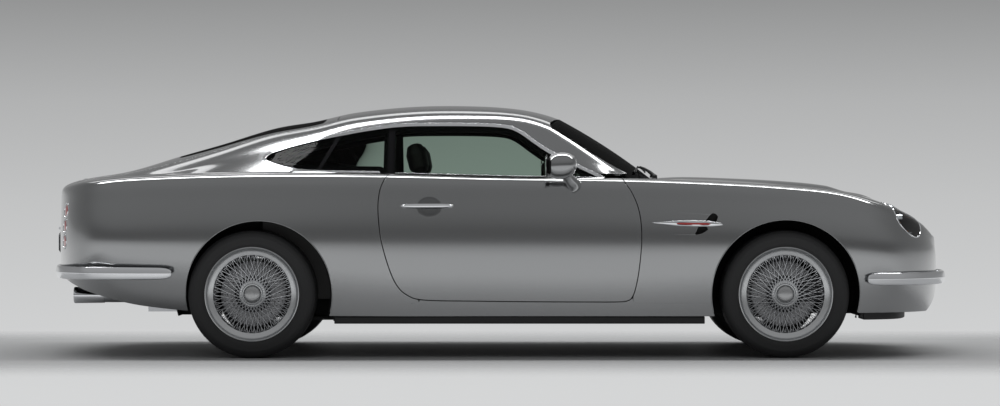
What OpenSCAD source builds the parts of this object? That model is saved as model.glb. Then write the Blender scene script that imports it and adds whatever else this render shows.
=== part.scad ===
// Two-door fastback coupe, millimetres, X forward, Y to the left, Z up, ground at zero.

/* [Overall] */
// distance between the axle lines
wheelbase = 2752; // [2500:1:3000]
// front axle line ahead of the middle of the car
front_axle_x = 1462; // [1300:1:1600]
// foremost face of the nose panel
nose_x = 2343; // [2200:1:2450]
// rearmost face of the tail panel
tail_x = -2376; // [-2450:1:-2250]
// scale of all body widths
width_scale = 1; // [0.8:0.01:1.2]
// length over which the nose rounds off in plan
nose_round = 620; // [400:10:800]
// length over which the tail rounds off in plan
tail_round = 330; // [200:10:500]

/* [Panels] */
// thickness of wings, bonnet, nose and tail
skin_t = 8; // [4:1:12]
// thickness of a whole door below the window
door_t = 45; // [30:1:70]
// thickness of roof and pillars
roof_t = 22; // [15:1:30]
// thickness of the rear quarters
quarter_t = 16; // [8:1:30]
// gap between neighbouring panels
gap = 7; // [5:0.5:9]
// glass thickness
glass_t = 5; // [4:0.5:8]

/* [Wheels] */
// tyre outer radius
tyre_r = 330; // [300:1:360]
// tyre width
tyre_w = 244; // [200:1:280]
// rim radius where the tyre sits
rim_r = 234; // [200:1:260]
// distance between front wheel middles
front_track = 1560; // [1400:1:1650]
// distance between rear wheel middles
rear_track = 1604; // [1400:1:1700]
// hub radius
hub_r = 44; // [30:1:60]
// wheel bearing journal radius
journal_r = 20; // [15:1:30]
// running clearance on the radius of journals and pins
run_fit = 0.05; // [0.01:0.01:0.1]
// brake disc radius
disc_r = 172; // [140:1:190]
// brake disc thickness
disc_t = 28; // [20:1:36]
// kingpin distance inboard of the wheel middle
kingpin_in = 64; // [50:1:90]
// kingpin radius
kingpin_r = 12; // [8:1:16]

/* [Arches] */
// space from the tyre to the edge of the front wheel opening
front_arch_gap = 55; // [40:1:90]
// space from the tyre to the edge of the rear wheel opening
rear_arch_gap = 50; // [40:1:90]
// rear opening centre ahead of the rear axle
rear_arch_dx = 35; // [0:1:60]
// space from the tyre to the back of the wheel liner
liner_gap = 74; // [60:1:100]
// wheel liner inner wall from the middle of the car
liner_in = 452; // [420:1:500]

/* [Fixings] */
// radius of the front towing eye's threaded hole
tow_hole_r = 10.2; // [8:0.1:14]
// Height of the towing eye socket
tow_z = 352; // [345:1:354]
// radius of the rear plate's screw holes
plate_hole_r = 3.2; // [2:0.1:4]
// distance between the rear plate's screw holes
plate_pitch = 170; // [100:1:300]

/* [Openings] */
// door leading edge
door_front_x = 718; // [600:1:800]
// door trailing edge
door_rear_x = -641; // [-750:1:-500]
// bonnet front edge
bonnet_front_x = 2120; // [2000:1:2200]
// bonnet rear edge at the middle
bonnet_rear_x = 850; // [820:1:900]
// hatch front edge
hatch_front_x = -868; // [-950:1:-800]
// hatch rear edge
hatch_rear_x = -2235; // [-2300:1:-2150]

/* [Hidden] */
rear_axle_x = front_axle_x - wheelbase;
axle_z = tyre_r;
front_arch_r = tyre_r + front_arch_gap;
rear_arch_r = tyre_r + rear_arch_gap;
liner_r = tyre_r + liner_gap;
mirror_dy = (width_scale - 1) * 900;
fy = front_track / 2;
ry = rear_track / 2;
kp_y = fy - kingpin_in;

// side_rows columns: station, sill half width, sill height, widest half width, widest height,
// shoulder half width, shoulder height, deck edge half width, deck edge height
side_rows = [
  [-2390, 800, 440, 880, 600, 800, 800, 700, 850],
  [-2300, 800, 400, 885, 600, 815, 850, 720, 888],
  [-2150, 810, 340, 895, 598, 835, 880, 740, 918],
  [-1850, 840, 268, 925, 594, 872, 898, 765, 944],
  [-1290, 870, 225, 946, 592, 900, 912, 782, 962],
  [-640, 868, 216, 918, 590, 880, 917, 765, 958],
  [0, 862, 216, 905, 590, 868, 910, 752, 942],
  [640, 866, 216, 908, 590, 866, 905, 762, 930],
  [1100, 872, 216, 922, 590, 872, 890, 770, 912],
  [1462, 872, 214, 932, 588, 872, 866, 770, 892],
  [1750, 865, 208, 925, 580, 858, 832, 755, 862],
  [2000, 850, 204, 910, 562, 835, 755, 735, 795],
  [2180, 835, 205, 895, 540, 820, 660, 720, 712],
  [2290, 820, 290, 885, 520, 815, 585, 730, 628],
  [2343, 810, 420, 880, 500, 820, 540, 760, 560]];

// cabin_rows columns: station, rail half width, rail height, middle height
cabin_rows = [
  [-2390, 640, 858, 872],
  [-2310, 650, 893, 908],
  [-2200, 655, 916, 935],
  [-1982, 680, 934, 974],
  [-1722, 690, 956, 1056],
  [-1500, 640, 1020, 1120],
  [-1219, 572, 1106, 1206],
  [-1001, 546, 1160, 1243],
  [-783, 538, 1210, 1290],
  [-455, 540, 1244, 1322],
  [-128, 545, 1250, 1323],
  [90, 552, 1240, 1306],
  [235, 572, 1198, 1276],
  [340, 602, 1129, 1236],
  [450, 638, 1057, 1166],
  [560, 676, 985, 1096],
  [660, 712, 926, 1030]];

// deck_rows columns: station, bulge half width, bulge edge height, middle height
deck_rows = [
  [560, 330, 922, 926],
  [800, 325, 926, 934],
  [963, 318, 929, 941],
  [1200, 300, 921, 935],
  [1500, 280, 898, 920],
  [1740, 260, 868, 896],
  [1840, 250, 852, 866],
  [1944, 260, 832, 845],
  [2054, 280, 783, 794],
  [2163, 300, 733, 744],
  [2272, 320, 672, 684],
  [2320, 340, 612, 618],
  [2343, 360, 570, 572]];

function row_of(rows, x, i = 0) = (i >= len(rows) - 2 || x <= rows[i + 1][0]) ? i : row_of(rows, x,
  i + 1);
function rise(rows, k, i) = let (a = max(0, i - 1), b = min(len(rows) - 1, i + 1))
  (rows[b][k] - rows[a][k]) / (rows[b][0] - rows[a][0]);
function at(rows, x, k) = let (i = row_of(rows, x), h = rows[i + 1][0] - rows[i][0],
  t = (x - rows[i][0]) / h)
  rows[i][k] * (2 * t * t * t - 3 * t * t + 1) + rise(rows, k, i) * h * (t * t * t - 2 * t * t + t)
  + rows[i + 1][k] * (3 * t * t - 2 * t * t * t) + rise(rows, k, i + 1) * h * (t * t * t - t * t);
// plan rounding of nose and tail
function round_off(d, l, n) = d >= l ? 1 : pow(1 - pow(1 - max(d, 1.5) / l, n), 1 / n);
function plan(x) = width_scale * round_off(x - tail_x, tail_round, 2.6) * round_off(nose_x - x,
  nose_round, 2.3);
// clamped cubic curve through a short control list
function curve(p, t) = let (n = len(p), q = concat([p[0], p[0]], p, [p[n - 1], p[n - 1]]),
  m = len(q) - 3, s = min(m - 0.000001, max(0, t * m)), i = floor(s), f = s - i)
  (pow(1 - f, 3) * q[i] + (3 * f * f * f - 6 * f * f + 4) * q[i + 1]
  + (3 * f * f - 3 * f * f * f + 3 * f + 1) * q[i + 2] + f * f * f * q[i + 3]) / 6;
function mix(a, b, t) = a + (b - a) * t;

// control points of one section, [half width, height]
function side_ctrl(x) = let (g = plan(x), ys = at(side_rows, x, 1) * g, zs = at(side_rows, x, 2),
  yw = at(side_rows, x, 3) * g, zw = at(side_rows, x, 4), yh = at(side_rows, x, 5) * g,
  zh = at(side_rows, x, 6),
  yb = at(side_rows, x, 7) * g, zb = at(side_rows, x, 8))
  [[ys, zs], [mix(ys, yw, 0.6), mix(zs, zw, 0.33)], [yw + 3, mix(zs, zw, 0.82)], [yw, mix(zw, zh, 0.3)],
  [mix(yw, yh, 0.75), mix(zw, zh, 0.78)], [yh, mix(zh, zb, 0.15)], [mix(yh, yb, 0.35), mix(zh, zb,
  0.85)], [yb, zb]];
function cabin_ctrl(x) = let (g = plan(x), yb = at(side_rows, x, 7) * g, zb = at(side_rows, x, 8),
  yr = at(cabin_rows, x, 1) * g, zr = at(cabin_rows, x, 2), zc = at(cabin_rows, x, 3), bow = 8)
  [[yb, zb], [mix(yb, yr, 0.4) + bow, mix(zb, zr, 0.4)], [mix(yb, yr, 0.8) + bow, mix(zb, zr, 0.8)],
  [yr, mix(zr, zc, 0.12)], [yr * 0.84, mix(zr, zc, 0.64)], [yr * 0.45, mix(zr, zc, 0.97)], [0, zc]];
function deck_ctrl(x) = let (g = plan(x), yb = at(side_rows, x, 7) * g, zb = at(side_rows, x, 8),
  yr = at(deck_rows, x, 1) * g, zr = at(deck_rows, x, 2), zc = at(deck_rows, x, 3))
  [[yb, zb], [mix(yb, yr, 0.5), mix(zb, zr, 0.72)], [yr + 60 * g, zr - 2], [yr, zr], [yr - 40 * g,
  mix(zr, zc, 0.8)],
  [yr * 0.4, zc], [0, zc]];
function side_pt(x, t) = let (c = curve(side_ctrl(x), t)) [x, c[0], c[1]];
function cabin_pt(x, t) = let (c = curve(cabin_ctrl(x), t)) [x, c[0], c[1]];
function deck_pt(x, t) = let (c = curve(deck_ctrl(x), t)) [x, c[0], c[1]];
function windscreen_pt(u, v) = let (x0 = 806 - 142 * u * u, x1 = 308 - 66 * u * u, y = mix(690, 560,
  v) * u * width_scale,
  z0 = 930 - 8 * u * u, z1 = 1254 - 52 * u * u, sag = 14 * 4 * v * (1 - v)) [mix(x0, x1, v) + 0.5 * sag,
  y, mix(z0, z1, v) + 0.8 * sag];

function steps(a, b, n) = [for (i = [0:n]) a + (b - a) * i / n];
function unit(v) = v / max(norm(v), 0.000001);
// outward normal of a grid of points, rows along X and columns up the section
function grid_n(p, i, j) = let (a = max(0, i - 1), b = min(len(p) - 1, i + 1), c = max(0, j - 1),
  d = min(len(p[0]) - 1, j + 1)) unit(cross(p[b][j] - p[a][j], p[i][d] - p[i][c]));

// closed sheet of thickness t made inward from a grid of outer points
module sheet(p, t) {
  n = len(p);
  m = len(p[0]);
  outer = [for (i = [0:n - 1]) for (j = [0:m - 1]) p[i][j]];
  inner = [for (i = [0:n - 1]) for (j = [0:m - 1]) p[i][j] + grid_n(p, i, j) * t];
  k = n * m;
  faces = concat(
    [for (i = [0:n - 2]) for (j = [0:m - 2]) [i * m + j, (i + 1) * m + j, (i + 1) * m + j + 1]],
    [for (i = [0:n - 2]) for (j = [0:m - 2]) [i * m + j, (i + 1) * m + j + 1, i * m + j + 1]],
    [for (i = [0:n - 2]) for (j = [0:m - 2]) [k + i * m + j, k + (i + 1) * m + j + 1,
    k + (i + 1) * m + j]],
    [for (i = [0:n - 2]) for (j = [0:m - 2]) [k + i * m + j, k + i * m + j + 1, k + (i + 1) * m + j + 1]],
    [for (i = [0:n - 2]) [i * m, k + i * m, k + (i + 1) * m]],
    [for (i = [0:n - 2]) [i * m, k + (i + 1) * m, (i + 1) * m]],
    [for (i = [0:n - 2]) [i * m + m - 1, (i + 1) * m + m - 1, k + (i + 1) * m + m - 1]],
    [for (i = [0:n - 2]) [i * m + m - 1, k + (i + 1) * m + m - 1, k + i * m + m - 1]],
    [for (j = [0:m - 2]) [j, j + 1, k + j + 1]],
    [for (j = [0:m - 2]) [j, k + j + 1, k + j]],
    [for (j = [0:m - 2]) [(n - 1) * m + j, k + (n - 1) * m + j, k + (n - 1) * m + j + 1]],
    [for (j = [0:m - 2]) [(n - 1) * m + j, k + (n - 1) * m + j + 1, (n - 1) * m + j + 1]]);
  polyhedron(concat(outer, inner), faces);
}
module both() {
  children();
  mirror([0, 1, 0]) children();
}

// side outlines, [X, Z], closed curves
door_outline = [[door_front_x - 100, 990], [door_front_x - 92, 915], [door_front_x - 50, 868],
  [door_front_x - 14, 774],
  [door_front_x, 650], [door_front_x - 6, 520], [door_front_x - 26, 380], [door_front_x - 56, 306],
  [door_front_x - 110, 290], [150, 290], [-404, 299], [door_rear_x + 150, 325], [door_rear_x + 98, 374],
  [door_rear_x + 57, 464], [door_rear_x + 16, 613], [door_rear_x, 763], [door_rear_x + 11, 881],
  [door_rear_x + 50, 945],
  [door_rear_x + 66, 990]];
window_outline = [[522, 925], [400, 985], [258, 1056], [172, 1112], [112, 1156], [60, 1185], [0, 1199],
  [-116, 1206],
  [-330, 1208], [-532, 1204], [-856, 1155], [-1125, 1092], [-1205, 1063], [-1236, 1041], [-1234, 1022],
  [-1190, 1001],
  [-1105, 978], [-900, 964.5], [-640, 961], [-640, 880], [522, 880]];
// plan outlines of one half, [X, Y]
bonnet_outline = [[bonnet_rear_x, -1], [bonnet_rear_x - 8, 200], [bonnet_rear_x - 35, 400],
  [bonnet_rear_x - 66, 530],
  [bonnet_rear_x - 74, 596], [bonnet_rear_x - 40, 626], [bonnet_rear_x + 40, 636], [1200, 645], [1550,
  640],
  [1800, 590], [1960, 500], [bonnet_front_x - 60, 370], [bonnet_front_x - 14, 190], [bonnet_front_x, -1]];
screen_outline = [[308, -1], [304, 140], [291, 280], [271, 420], [248, 540], [260, 566], [420, 615],
  [664, 691],
  [700, 640], [742, 480], [780, 300], [806, -1]];
scuttle_outline = [[806.4, -1], [780.5, 300], [746, 480], [717, 600], [758, 600], [bonnet_rear_x - 82,
  560],
  [bonnet_rear_x - 42, 400], [bonnet_rear_x - 15, 200], [bonnet_rear_x - 7, -1]];
hatch_outline = [[hatch_front_x, -1], [hatch_front_x, 440], [hatch_front_x - 30, 486], [-1300, 500],
  [-1560, 545],
  [-1760, 585], [-2100, 600], [hatch_rear_x + 25, 570], [hatch_rear_x, 500], [hatch_rear_x - 8, -1]];
hatch_glass_outline = [[-935, -1], [-935, 400], [-965, 440], [-1300, 452], [-1560, 470], [-1680, 465],
  [-1715, 430], [-1722, -1]];

function grow(p, g) = let (n = len(p)) [for (i = [0:n - 1]) let (a = p[(i + n - 1) % n], b = p[i],
  c = p[(i + 1) % n],
  u = unit(b - a), v = unit(c - b), w = unit([u[1] + v[1], -u[0] - v[0]]), s = area(p) > 0 ? 1 : -1,
  k = 1 / max(0.5, w * [u[1], -u[0]])) b + w * g * s * k];
// a plan outline made wider or narrower with the body
function wide(p) = [for (q = p) [q[0], q[1] * width_scale]];
function area(p) = let (n = len(p)) [for (i = [0:n - 1]) cross(p[i],
  p[(i + 1) % n])] * [for (i = [0:n - 1]) 1];

// prism through one side of the car from a side outline, and vertical prism from a plan outline
module side_cut(p) {
  translate([0, -5, 0]) mirror([0, 1, 0]) rotate([90, 0, 0]) linear_extrude(height = 1205) polygon(p);
}
module plan_cut(p) {
  translate([0, 0, -50]) linear_extrude(height = 1600) polygon(p);
}
module block(x0, x1, y0, y1, z0, z1) {
  translate([x0, y0, z0]) cube([x1 - x0, y1 - y0, z1 - z0]);
}
module rod_y(r, x, y0, y1, z) {
  translate([x, y1, z]) rotate([90, 0, 0]) cylinder(h = y1 - y0, r = r, $fn = 64);
}
module rod_x(r, x0, x1, y, z) {
  translate([x0, y, z]) rotate([0, 90, 0]) cylinder(h = x1 - x0, r = r, $fn = 64);
}
module rod_z(r, x, y, z0, z1) {
  translate([x, y, z0]) cylinder(h = z1 - z0, r = r, $fn = 64);
}
module rod(a, b, r) {
  d = b - a;
  translate(a) rotate([0, acos(d[2] / norm(d)), atan2(d[1], d[0])]) cylinder(h = norm(d), r = r,
  $fn = 32);
}
module arch_cut(x, r) {
  mirror([0, 1, 0]) rotate([90, 0, 0]) translate([x, axle_z, 0]) cylinder(h = 1200, r = r, $fn = 96);
}
// rows of points up one section: side only, side with cabin, side with bonnet deck, cabin or deck alone
function side_row(x, n = 13) = [for (s = steps(0, 1, n)) side_pt(x, s)];
function cabin_row(x, n, s0 = 0) = [for (s = steps(s0, 1, n)) cabin_pt(x, s)];
function deck_row(x, n) = [for (s = steps(0, 1, n)) deck_pt(x, s)];
function tail_of(r) = [for (i = [1:len(r) - 1]) r[i]];
function side_cabin_row(x) = concat(side_row(x), tail_of(cabin_row(x, 10)));
function side_deck_row(x) = concat(side_row(x), tail_of(deck_row(x, 10)));
// a half row carried across the middle to the other side
function across(r) = let (n = len(r)) concat(r, [for (i = [n - 2:-1:0]) [r[i][0], -r[i][1], r[i][2]]]);
// round-ended opening of the grille, as points across the car and up
function grille_outline(r) = concat(
  [for (a = [-90:4.5:90]) [270 + r * cos(a), 535 + r * sin(a)]],
  [for (a = [90:4.5:270]) [-270 + r * cos(a), 535 + r * sin(a)]]);
nose_xs = [1900, 1980, 2060, 2130, 2190, 2240, 2275, 2300, 2318, 2330, 2338, nose_x - 1.5];
tail_xs = [tail_x + 1.5, tail_x + 5, tail_x + 12, tail_x + 24, tail_x + 42, tail_x + 70, tail_x + 110,
  tail_x + 170,
  tail_x + 250];
wing_xs = concat(steps(600, 1800, 14), nose_xs);
quarter_xs = concat(tail_xs, steps(tail_x + 330, -380, 18));
front_split = 430;
rear_split = 600;
rocker_outline = [[-470, 150], [1180, 150], [1180, 284], [-400, 284], [-470, 284]];

module floor_pan() color("DimGray") {
  difference() {
    union() {
      block(-1050, 846, -636, 636, 188, 200);
      block(-876, 846, -770, 770, 188, 200);
      both() block(-876, 846, 740, 800, 188, 282);
      block(-1056, -1044, -636, 636, 188, 480);
      block(-2250, -1044, -644.7, 644.7, 468, 480);
      block(-1050, 846, -140, 140, 188, 390);
    }
    block(-1060, 850, -134, 134, 180, 384);
  }
  both() block(862.3, 2170, 370, 430, 236, 330);
  both() {
    block(1075, 1270, 430, 451.7, 240, 330);
    block(1655, 1850, 430, 451.7, 240, 330);
  }
  block(2168, 2198, -560, 560, 329, 400);
  difference() {
    rod_x(28, 2150, 2260, -330, tow_z);
    rod_x(tow_hole_r, 2190, 2261, -330, tow_z);
  }
}
module firewall() color("DimGray") {
  difference() {
    block(850, 862, -700, 700, 200, 880);
    block(840, 870, -136, 136, 190, 400);
  }
  both() block(742, 855, 699, 850, 290, 860);
  intersection() {
    sheet([for (x = steps(690, 900, 4)) across(deck_row(x, 10))], skin_t);
    both() plan_cut(scuttle_outline);
  }
}
module liner(x, y_in, y_out, y_low) {
  difference() {
    rod_y(liner_r, x, y_in, y_out, axle_z);
    rod_y(liner_r - 4, x, y_in + 4, y_out + 1, axle_z);
    block(x - 500, x + 500, y_in - 10, y_out + 10, -100, 216);
    block(x - 175, x + 175, y_in - 10, y_in + 10, 100, axle_z + 190);
    block(x - 500, x + 500, y_low, y_out + 10, 100, 420);
  }
}
module wheel_liners() color("Black") {
  both() liner(front_axle_x, liner_in, 860, 838);
  both() liner(rear_axle_x, 645, 880, 830);
}
module front_wings() color("Silver") both() difference() {
  sheet([for (x = wing_xs) side_deck_row(x)], skin_t);
  side_cut(grow(door_outline, gap));
  arch_cut(front_axle_x, front_arch_r);
  plan_cut(grow(bonnet_outline, gap));
  side_cut(grow(rocker_outline, 0.3));
  block(500, 2500, -1, front_split + 0.3, 0, 1400);
  block(500, 862, -1, 610.3, 0, 1400);
  plan_cut([[0, 0], [0, 690], [400, 700], [664, 700], [708, 650], [708, 0]]);
  rod_x(92, 1900, 2400, 690, 690);
}
module nose_panel() color("Silver") difference() {
  union() {
    sheet([for (x = nose_xs) across(side_deck_row(x))], skin_t);
    block(2333, nose_x, -92, 92, 400, 560);
  }
  both() block(1500, 2500, front_split, 1200, 0, 1400);
  both() plan_cut(grow(bonnet_outline, gap));
  translate([2100, 0, 0]) rotate([90, 0, 90]) linear_extrude(400) polygon(grille_outline(88));
  block(2100, 2500, -300, 300, 255, 340);
  rod_x(30, 2100, 2500, -330, tow_z);
}
module rear_quarters() color("Silver") both() difference() {
  sheet([for (x = quarter_xs) side_cabin_row(x)], quarter_t);
  side_cut(grow(window_outline, 0.3));
  side_cut(concat([for (x = steps(hatch_front_x - 12.3, -300, 8)) [x, at(side_rows, x, 8) + 1.5]],
    [[-300, 1500], [hatch_front_x - 12.3, 1500]]));
  side_cut(grow(door_outline, gap));
  arch_cut(rear_axle_x + rear_arch_dx, rear_arch_r);
  plan_cut(grow(hatch_outline, gap));
  side_cut(grow(rocker_outline, 0.3));
  block(-2500, tail_x + 240, -1, rear_split + 0.3, 0, 1400);
  for (z = [600, 680, 760]) rod_x(38, -2500, -2200, 655, z);
}
module rocker_panels() color("Silver") both() intersection() {
  sheet([for (x = steps(-520, 1200, 10)) side_row(x)], quarter_t);
  difference() {
    side_cut(rocker_outline);
    side_cut(grow(door_outline, gap));
    arch_cut(front_axle_x, front_arch_r);
  }
}
module roof_panel() color("Silver") difference() {
  sheet([for (x = steps(hatch_front_x - 30, 660, 24)) across(cabin_row(x, 12))], roof_t);
  both() side_cut(grow(window_outline, gap));
  both() plan_cut(grow(screen_outline, 0.5));
  both() plan_cut(grow(hatch_outline, gap));
  block(-1000, hatch_front_x - 12, -1000, 1000, 800, 1400);
  both() block(-1000, 1000, 600, 1200, 800, 966);
}
module tail_panel() color("Silver") difference() {
  union() {
    sheet([for (x = tail_xs) across(side_cabin_row(x))], quarter_t);
    block(tail_x, tail_x + 14, -150, 150, 410, 850);
  }
  both() block(-2500, -1500, rear_split, 1200, 0, 1400);
  block(tail_x + 239.7, -1500, -1200, 1200, 0, 1400);
  both() plan_cut(grow(hatch_outline, gap));
  for (y = [-plate_pitch / 2, plate_pitch / 2]) rod_x(plate_hole_r, tail_x - 1, tail_x + 30, y, 600);
}
module front_bumper() color("Gainsboro") {
  both() translate([0, 0, 368]) linear_extrude(height = 70) polygon(wide([[2404, -1], [2398, 200],
    [2376, 400], [2326, 560], [2226, 710], [2090, 820], [1980, 876], [1885, 912], [1882, 896], [1972, 858],
    [2076, 803], [2208, 694], [2306, 546], [2354, 390], [2380, 194], [2386, -1]]));
  both() rod_x(16, nose_x + 0.3, 2390, 60, 403);
}
module rear_bumper() color("Gainsboro") {
  both() translate([0, 0, 402]) linear_extrude(height = 72) polygon(wide([[-2404, -1], [-2402, 300],
    [-2390, 520], [-2352, 700], [-2270, 830], [-2140, 912], [-1960, 950], [-1700, 968], [-1700, 954],
    [-1956, 936], [-2132, 898], [-2258, 818], [-2337, 692], [-2374, 515], [-2386, 298], [-2388, -1]]));
  both() rod_x(16, -2396, tail_x - 0.3, 100, 438);
}
module grille() color("Silver") {
  difference() {
    union() {
      block(2205, 2223, -270, 270, 437, 633);
      both() rod_x(98, 2205, 2223, 270, 535);
    }
    block(2200, 2230, -270, 270, 447, 623);
    both() rod_x(88, 2200, 2230, 270, 535);
  }
  for (z = [482, 517, 552, 587]) block(2208, 2220, -340, 340, z - 3, z + 3);
  for (y = [-300 : 60 : 300]) block(2209, 2219, y - 3, y + 3, 440, 630);
  both() block(2192, 2210, 200, 230, 400.3, 445);
}
module headlamps() color("White") both() translate([0, 690, 690]) rotate([0, 90,
  0]) rotate_extrude($fn = 64)
  polygon([[0, 1985], [60, 2000], [91.7, 2050], [91.7, 2110], [84, 2140], [60, 2163], [30, 2174], [0,
  2178]]);
module tail_lamps() color("Red") both() for (z = [600, 680, 760]) {
  rod_x(37.7, -2322, -2250, 655, z);
}
module windscreen() color("LightBlue") intersection() {
  sheet([for (v = [1.05:-0.111:-0.07]) across([for (u = [1.04:-0.104:-0.001]) windscreen_pt(max(0, u),
  v)])], glass_t);
  both() plan_cut(screen_outline);
}
module quarter_glasses() color("LightBlue") both() intersection() {
  sheet([for (x = steps(-1300, -500, 12)) [for (s = steps(0.003, 0.6, 8)) cabin_pt(x, s)]], glass_t);
  difference() {
    side_cut(window_outline);
    block(door_rear_x + 43, 1000, 0, 1200, 800, 1400);
  }
}
module lower_trim() color("Black") {
  both() block(-870, 1048, 800.4, 862, 175, 215.7);
  both() translate([0, 0, 163]) linear_extrude(height = 34.4) polygon(wide([[1868, 600], [1868, 832],
    [2005, 786], [2110, 700], [2175, 620], [2205, 480], [2216, 300], [2220, -1], [1980, -1], [1980, 400]]));
}
module exhaust() color("Gray") {
  both() difference() {
    rod_x(38, -2250, -1800, 500, 314);
    rod_x(34, -2251, -2100, 500, 314);
  }
  block(-1860, -1700, -580, 580, 230, 360);
  block(-1800, -1770, -20, 20, 355, 467.7);
  both() rod_x(28, -1705, -1070, 200, 260);
  block(-1100, -1064, -232, 232, 222, 274);
  both() rod_x(28, -1080, 900, 60, 248);
}
module engine_block() color("DarkGray") block(1000, 1540, -210, 210, 236, 760);
module front_seat() {
  block(-330, 190, -250, 250, 320, 440);
  translate([-300, 0, 400]) rotate([0, -16, 0]) block(-110, 10, -240, 240, 0, 560);
  translate([-300, 0, 400]) rotate([0, -16, 0]) block(-90, -10, -120, 120, 550, 720);
  block(-250, 150, -200, -180, 200.3, 330);
  block(-250, 150, 180, 200, 200.3, 330);
}
module front_seats() color("SaddleBrown") both() translate([0, 400, 0]) front_seat();
module rear_seats() color("SaddleBrown") both() {
  block(-1000, -620, 150, 620, 200.3, 430);
  translate([-935, 0, 420]) rotate([0, -20, 0]) block(-60, 40, 160, 610, 0, 480);
}
module dashboard() color("Black") {
  block(500, 849.7, -640, 640, 700, 880);
  block(-200, 700, -130, 130, 390.3, 520);
}
module steering_wheel() color("Black") translate([330, -400, 800]) rotate([0, -65, 0]) {
  rotate_extrude($fn = 64) translate([178, 0]) circle(r = 14, $fn = 32);
  for (a = [0, 120, 240]) rotate([0, 0, a]) translate([30, -12, -6]) cube([150, 24, 8]);
  translate([0, 0, -30]) cylinder(h = 40, r = 42, $fn = 64);
  translate([0, 0, -178]) cylinder(h = 160, r = 20, $fn = 32);
}
module wishbone(x, z, y_in, y_out) {
  translate([x, 0, z - 12]) linear_extrude(height = 24) polygon([[-165, y_in], [-130, y_in], [0,
  y_out - 60],
    [130, y_in], [165, y_in], [30, y_out - 6], [16, y_out + 18], [-16, y_out + 18], [-30, y_out - 6]]);
}
module front_suspension() color("DimGray") {
  both() difference() {
    union() {
      for (zo = [-109, 121]) wishbone(front_axle_x, axle_z + zo, 431, kp_y);
      block(front_axle_x - 170, front_axle_x + 170, 430.3, 447, axle_z - 135, axle_z + 150);
    }
    rod_z(kingpin_r + run_fit, front_axle_x, kp_y, 100, 600);
  }
  block(front_axle_x - 60, front_axle_x + 60, -430.3, 430.3, 205, 235.7);
}
module rear_suspension() color("DimGray") {
  both() {
    for (zo = [-109, 121]) wishbone(rear_axle_x, axle_z + zo, 300, ry - 80);
    block(rear_axle_x - 45, rear_axle_x + 45, ry - 92, ry - 46, axle_z - 135, axle_z + 145);
    rod_y(journal_r, rear_axle_x, 90, ry + 60, axle_z);
    block(rear_axle_x - 180, rear_axle_x + 180, 270, 310, axle_z - 140, 467.7);
  }
  rod_y(105, rear_axle_x, -100, 100, axle_z);
  block(rear_axle_x - 50, rear_axle_x + 50, -280, 280, axle_z + 95, 467.7);
}
door_grid = [for (x = steps(-700, 780, 20)) side_row(x)];
module door() {
  difference() {
    intersection() {
      sheet(door_grid, door_t);
      side_cut(door_outline);
    }
    block(-900, 900, 600, 1100, 100, 284);
  }
}
module door_left() color("Silver") door();
module door_right() color("Silver") mirror([0, 1, 0]) door();
module door_glass() {
  intersection() {
    sheet([for (x = steps(-600, 560, 16)) [for (s = steps(0.003, 0.62, 8)) cabin_pt(x, s)]], glass_t);
    difference() {
      side_cut(window_outline);
      block(-1300, door_rear_x + 78, 0, 1200, 800, 1400);
    }
  }
}
module door_glass_left() color("LightBlue") door_glass();
module door_glass_right() color("LightBlue") mirror([0, 1, 0]) door_glass();
module mirror_head() {
  translate([300, 952 + mirror_dy, 982]) sphere(r = 58, $fn = 64);
  rod_y(58, 300, 952 + mirror_dy, 985 + mirror_dy, 982);
  translate([300, 985 + mirror_dy, 982]) sphere(r = 50, $fn = 64);
  difference() {
    rod([310, 930 + mirror_dy, 950], [340, 845 + mirror_dy, 900], 15);
    sheet(door_grid, door_t);
    block(200, 500, 700, 848 + mirror_dy, 800, 1000);
  }
}
module mirror_left() color("Silver") mirror_head();
module mirror_right() color("Silver") mirror([0, 1, 0]) mirror_head();
module bonnet() color("Silver") intersection() {
  sheet([for (x = steps(740, 2140, 22)) across(deck_row(x, 11))], skin_t);
  both() plan_cut(bonnet_outline);
}
module hatch() color("Silver") difference() {
  intersection() {
    sheet([for (x = steps(-2260, -840, 20)) across(cabin_row(x, 9, 0.3))], 16);
    both() plan_cut(hatch_outline);
  }
  both() plan_cut(grow(hatch_glass_outline, 0.3));
}
module hatch_glass() color("LightBlue") intersection() {
  sheet([for (x = steps(-2260, -840, 20)) across(cabin_row(x, 9, 0.3))], glass_t);
  both() plan_cut(hatch_glass_outline);
}
module knuckle() {
  difference() {
    block(front_axle_x - 40, front_axle_x + 40, kp_y - 20, kp_y + 20, axle_z - 85, axle_z + 97);
    rod_y(12, front_axle_x - 20, kp_y - 30, kp_y - 10, axle_z - 60);
  }
  rod_z(kingpin_r, front_axle_x, kp_y, axle_z - 124, axle_z + 136);
  rod_y(journal_r, front_axle_x, kp_y, fy + 60, axle_z);
  block(front_axle_x + 30, front_axle_x + disc_r - 42, kp_y - 20, kp_y + 18, axle_z + 20, axle_z + 60);
  difference() {
    block(front_axle_x + disc_r - 82, front_axle_x + disc_r + 14, kp_y - 14, fy + 18, axle_z - 40, axle_z + 90);
    rod_y(disc_r + 6, front_axle_x, fy - disc_t - 10, fy + 2, axle_z);
    block(front_axle_x, front_axle_x + disc_r - 81.9, kp_y + 20, fy + 50, axle_z - 60, axle_z + 100);
  }
}
module knuckle_left() color("DimGray") knuckle();
module knuckle_right() color("DimGray") mirror([0, 1, 0]) knuckle();
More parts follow.
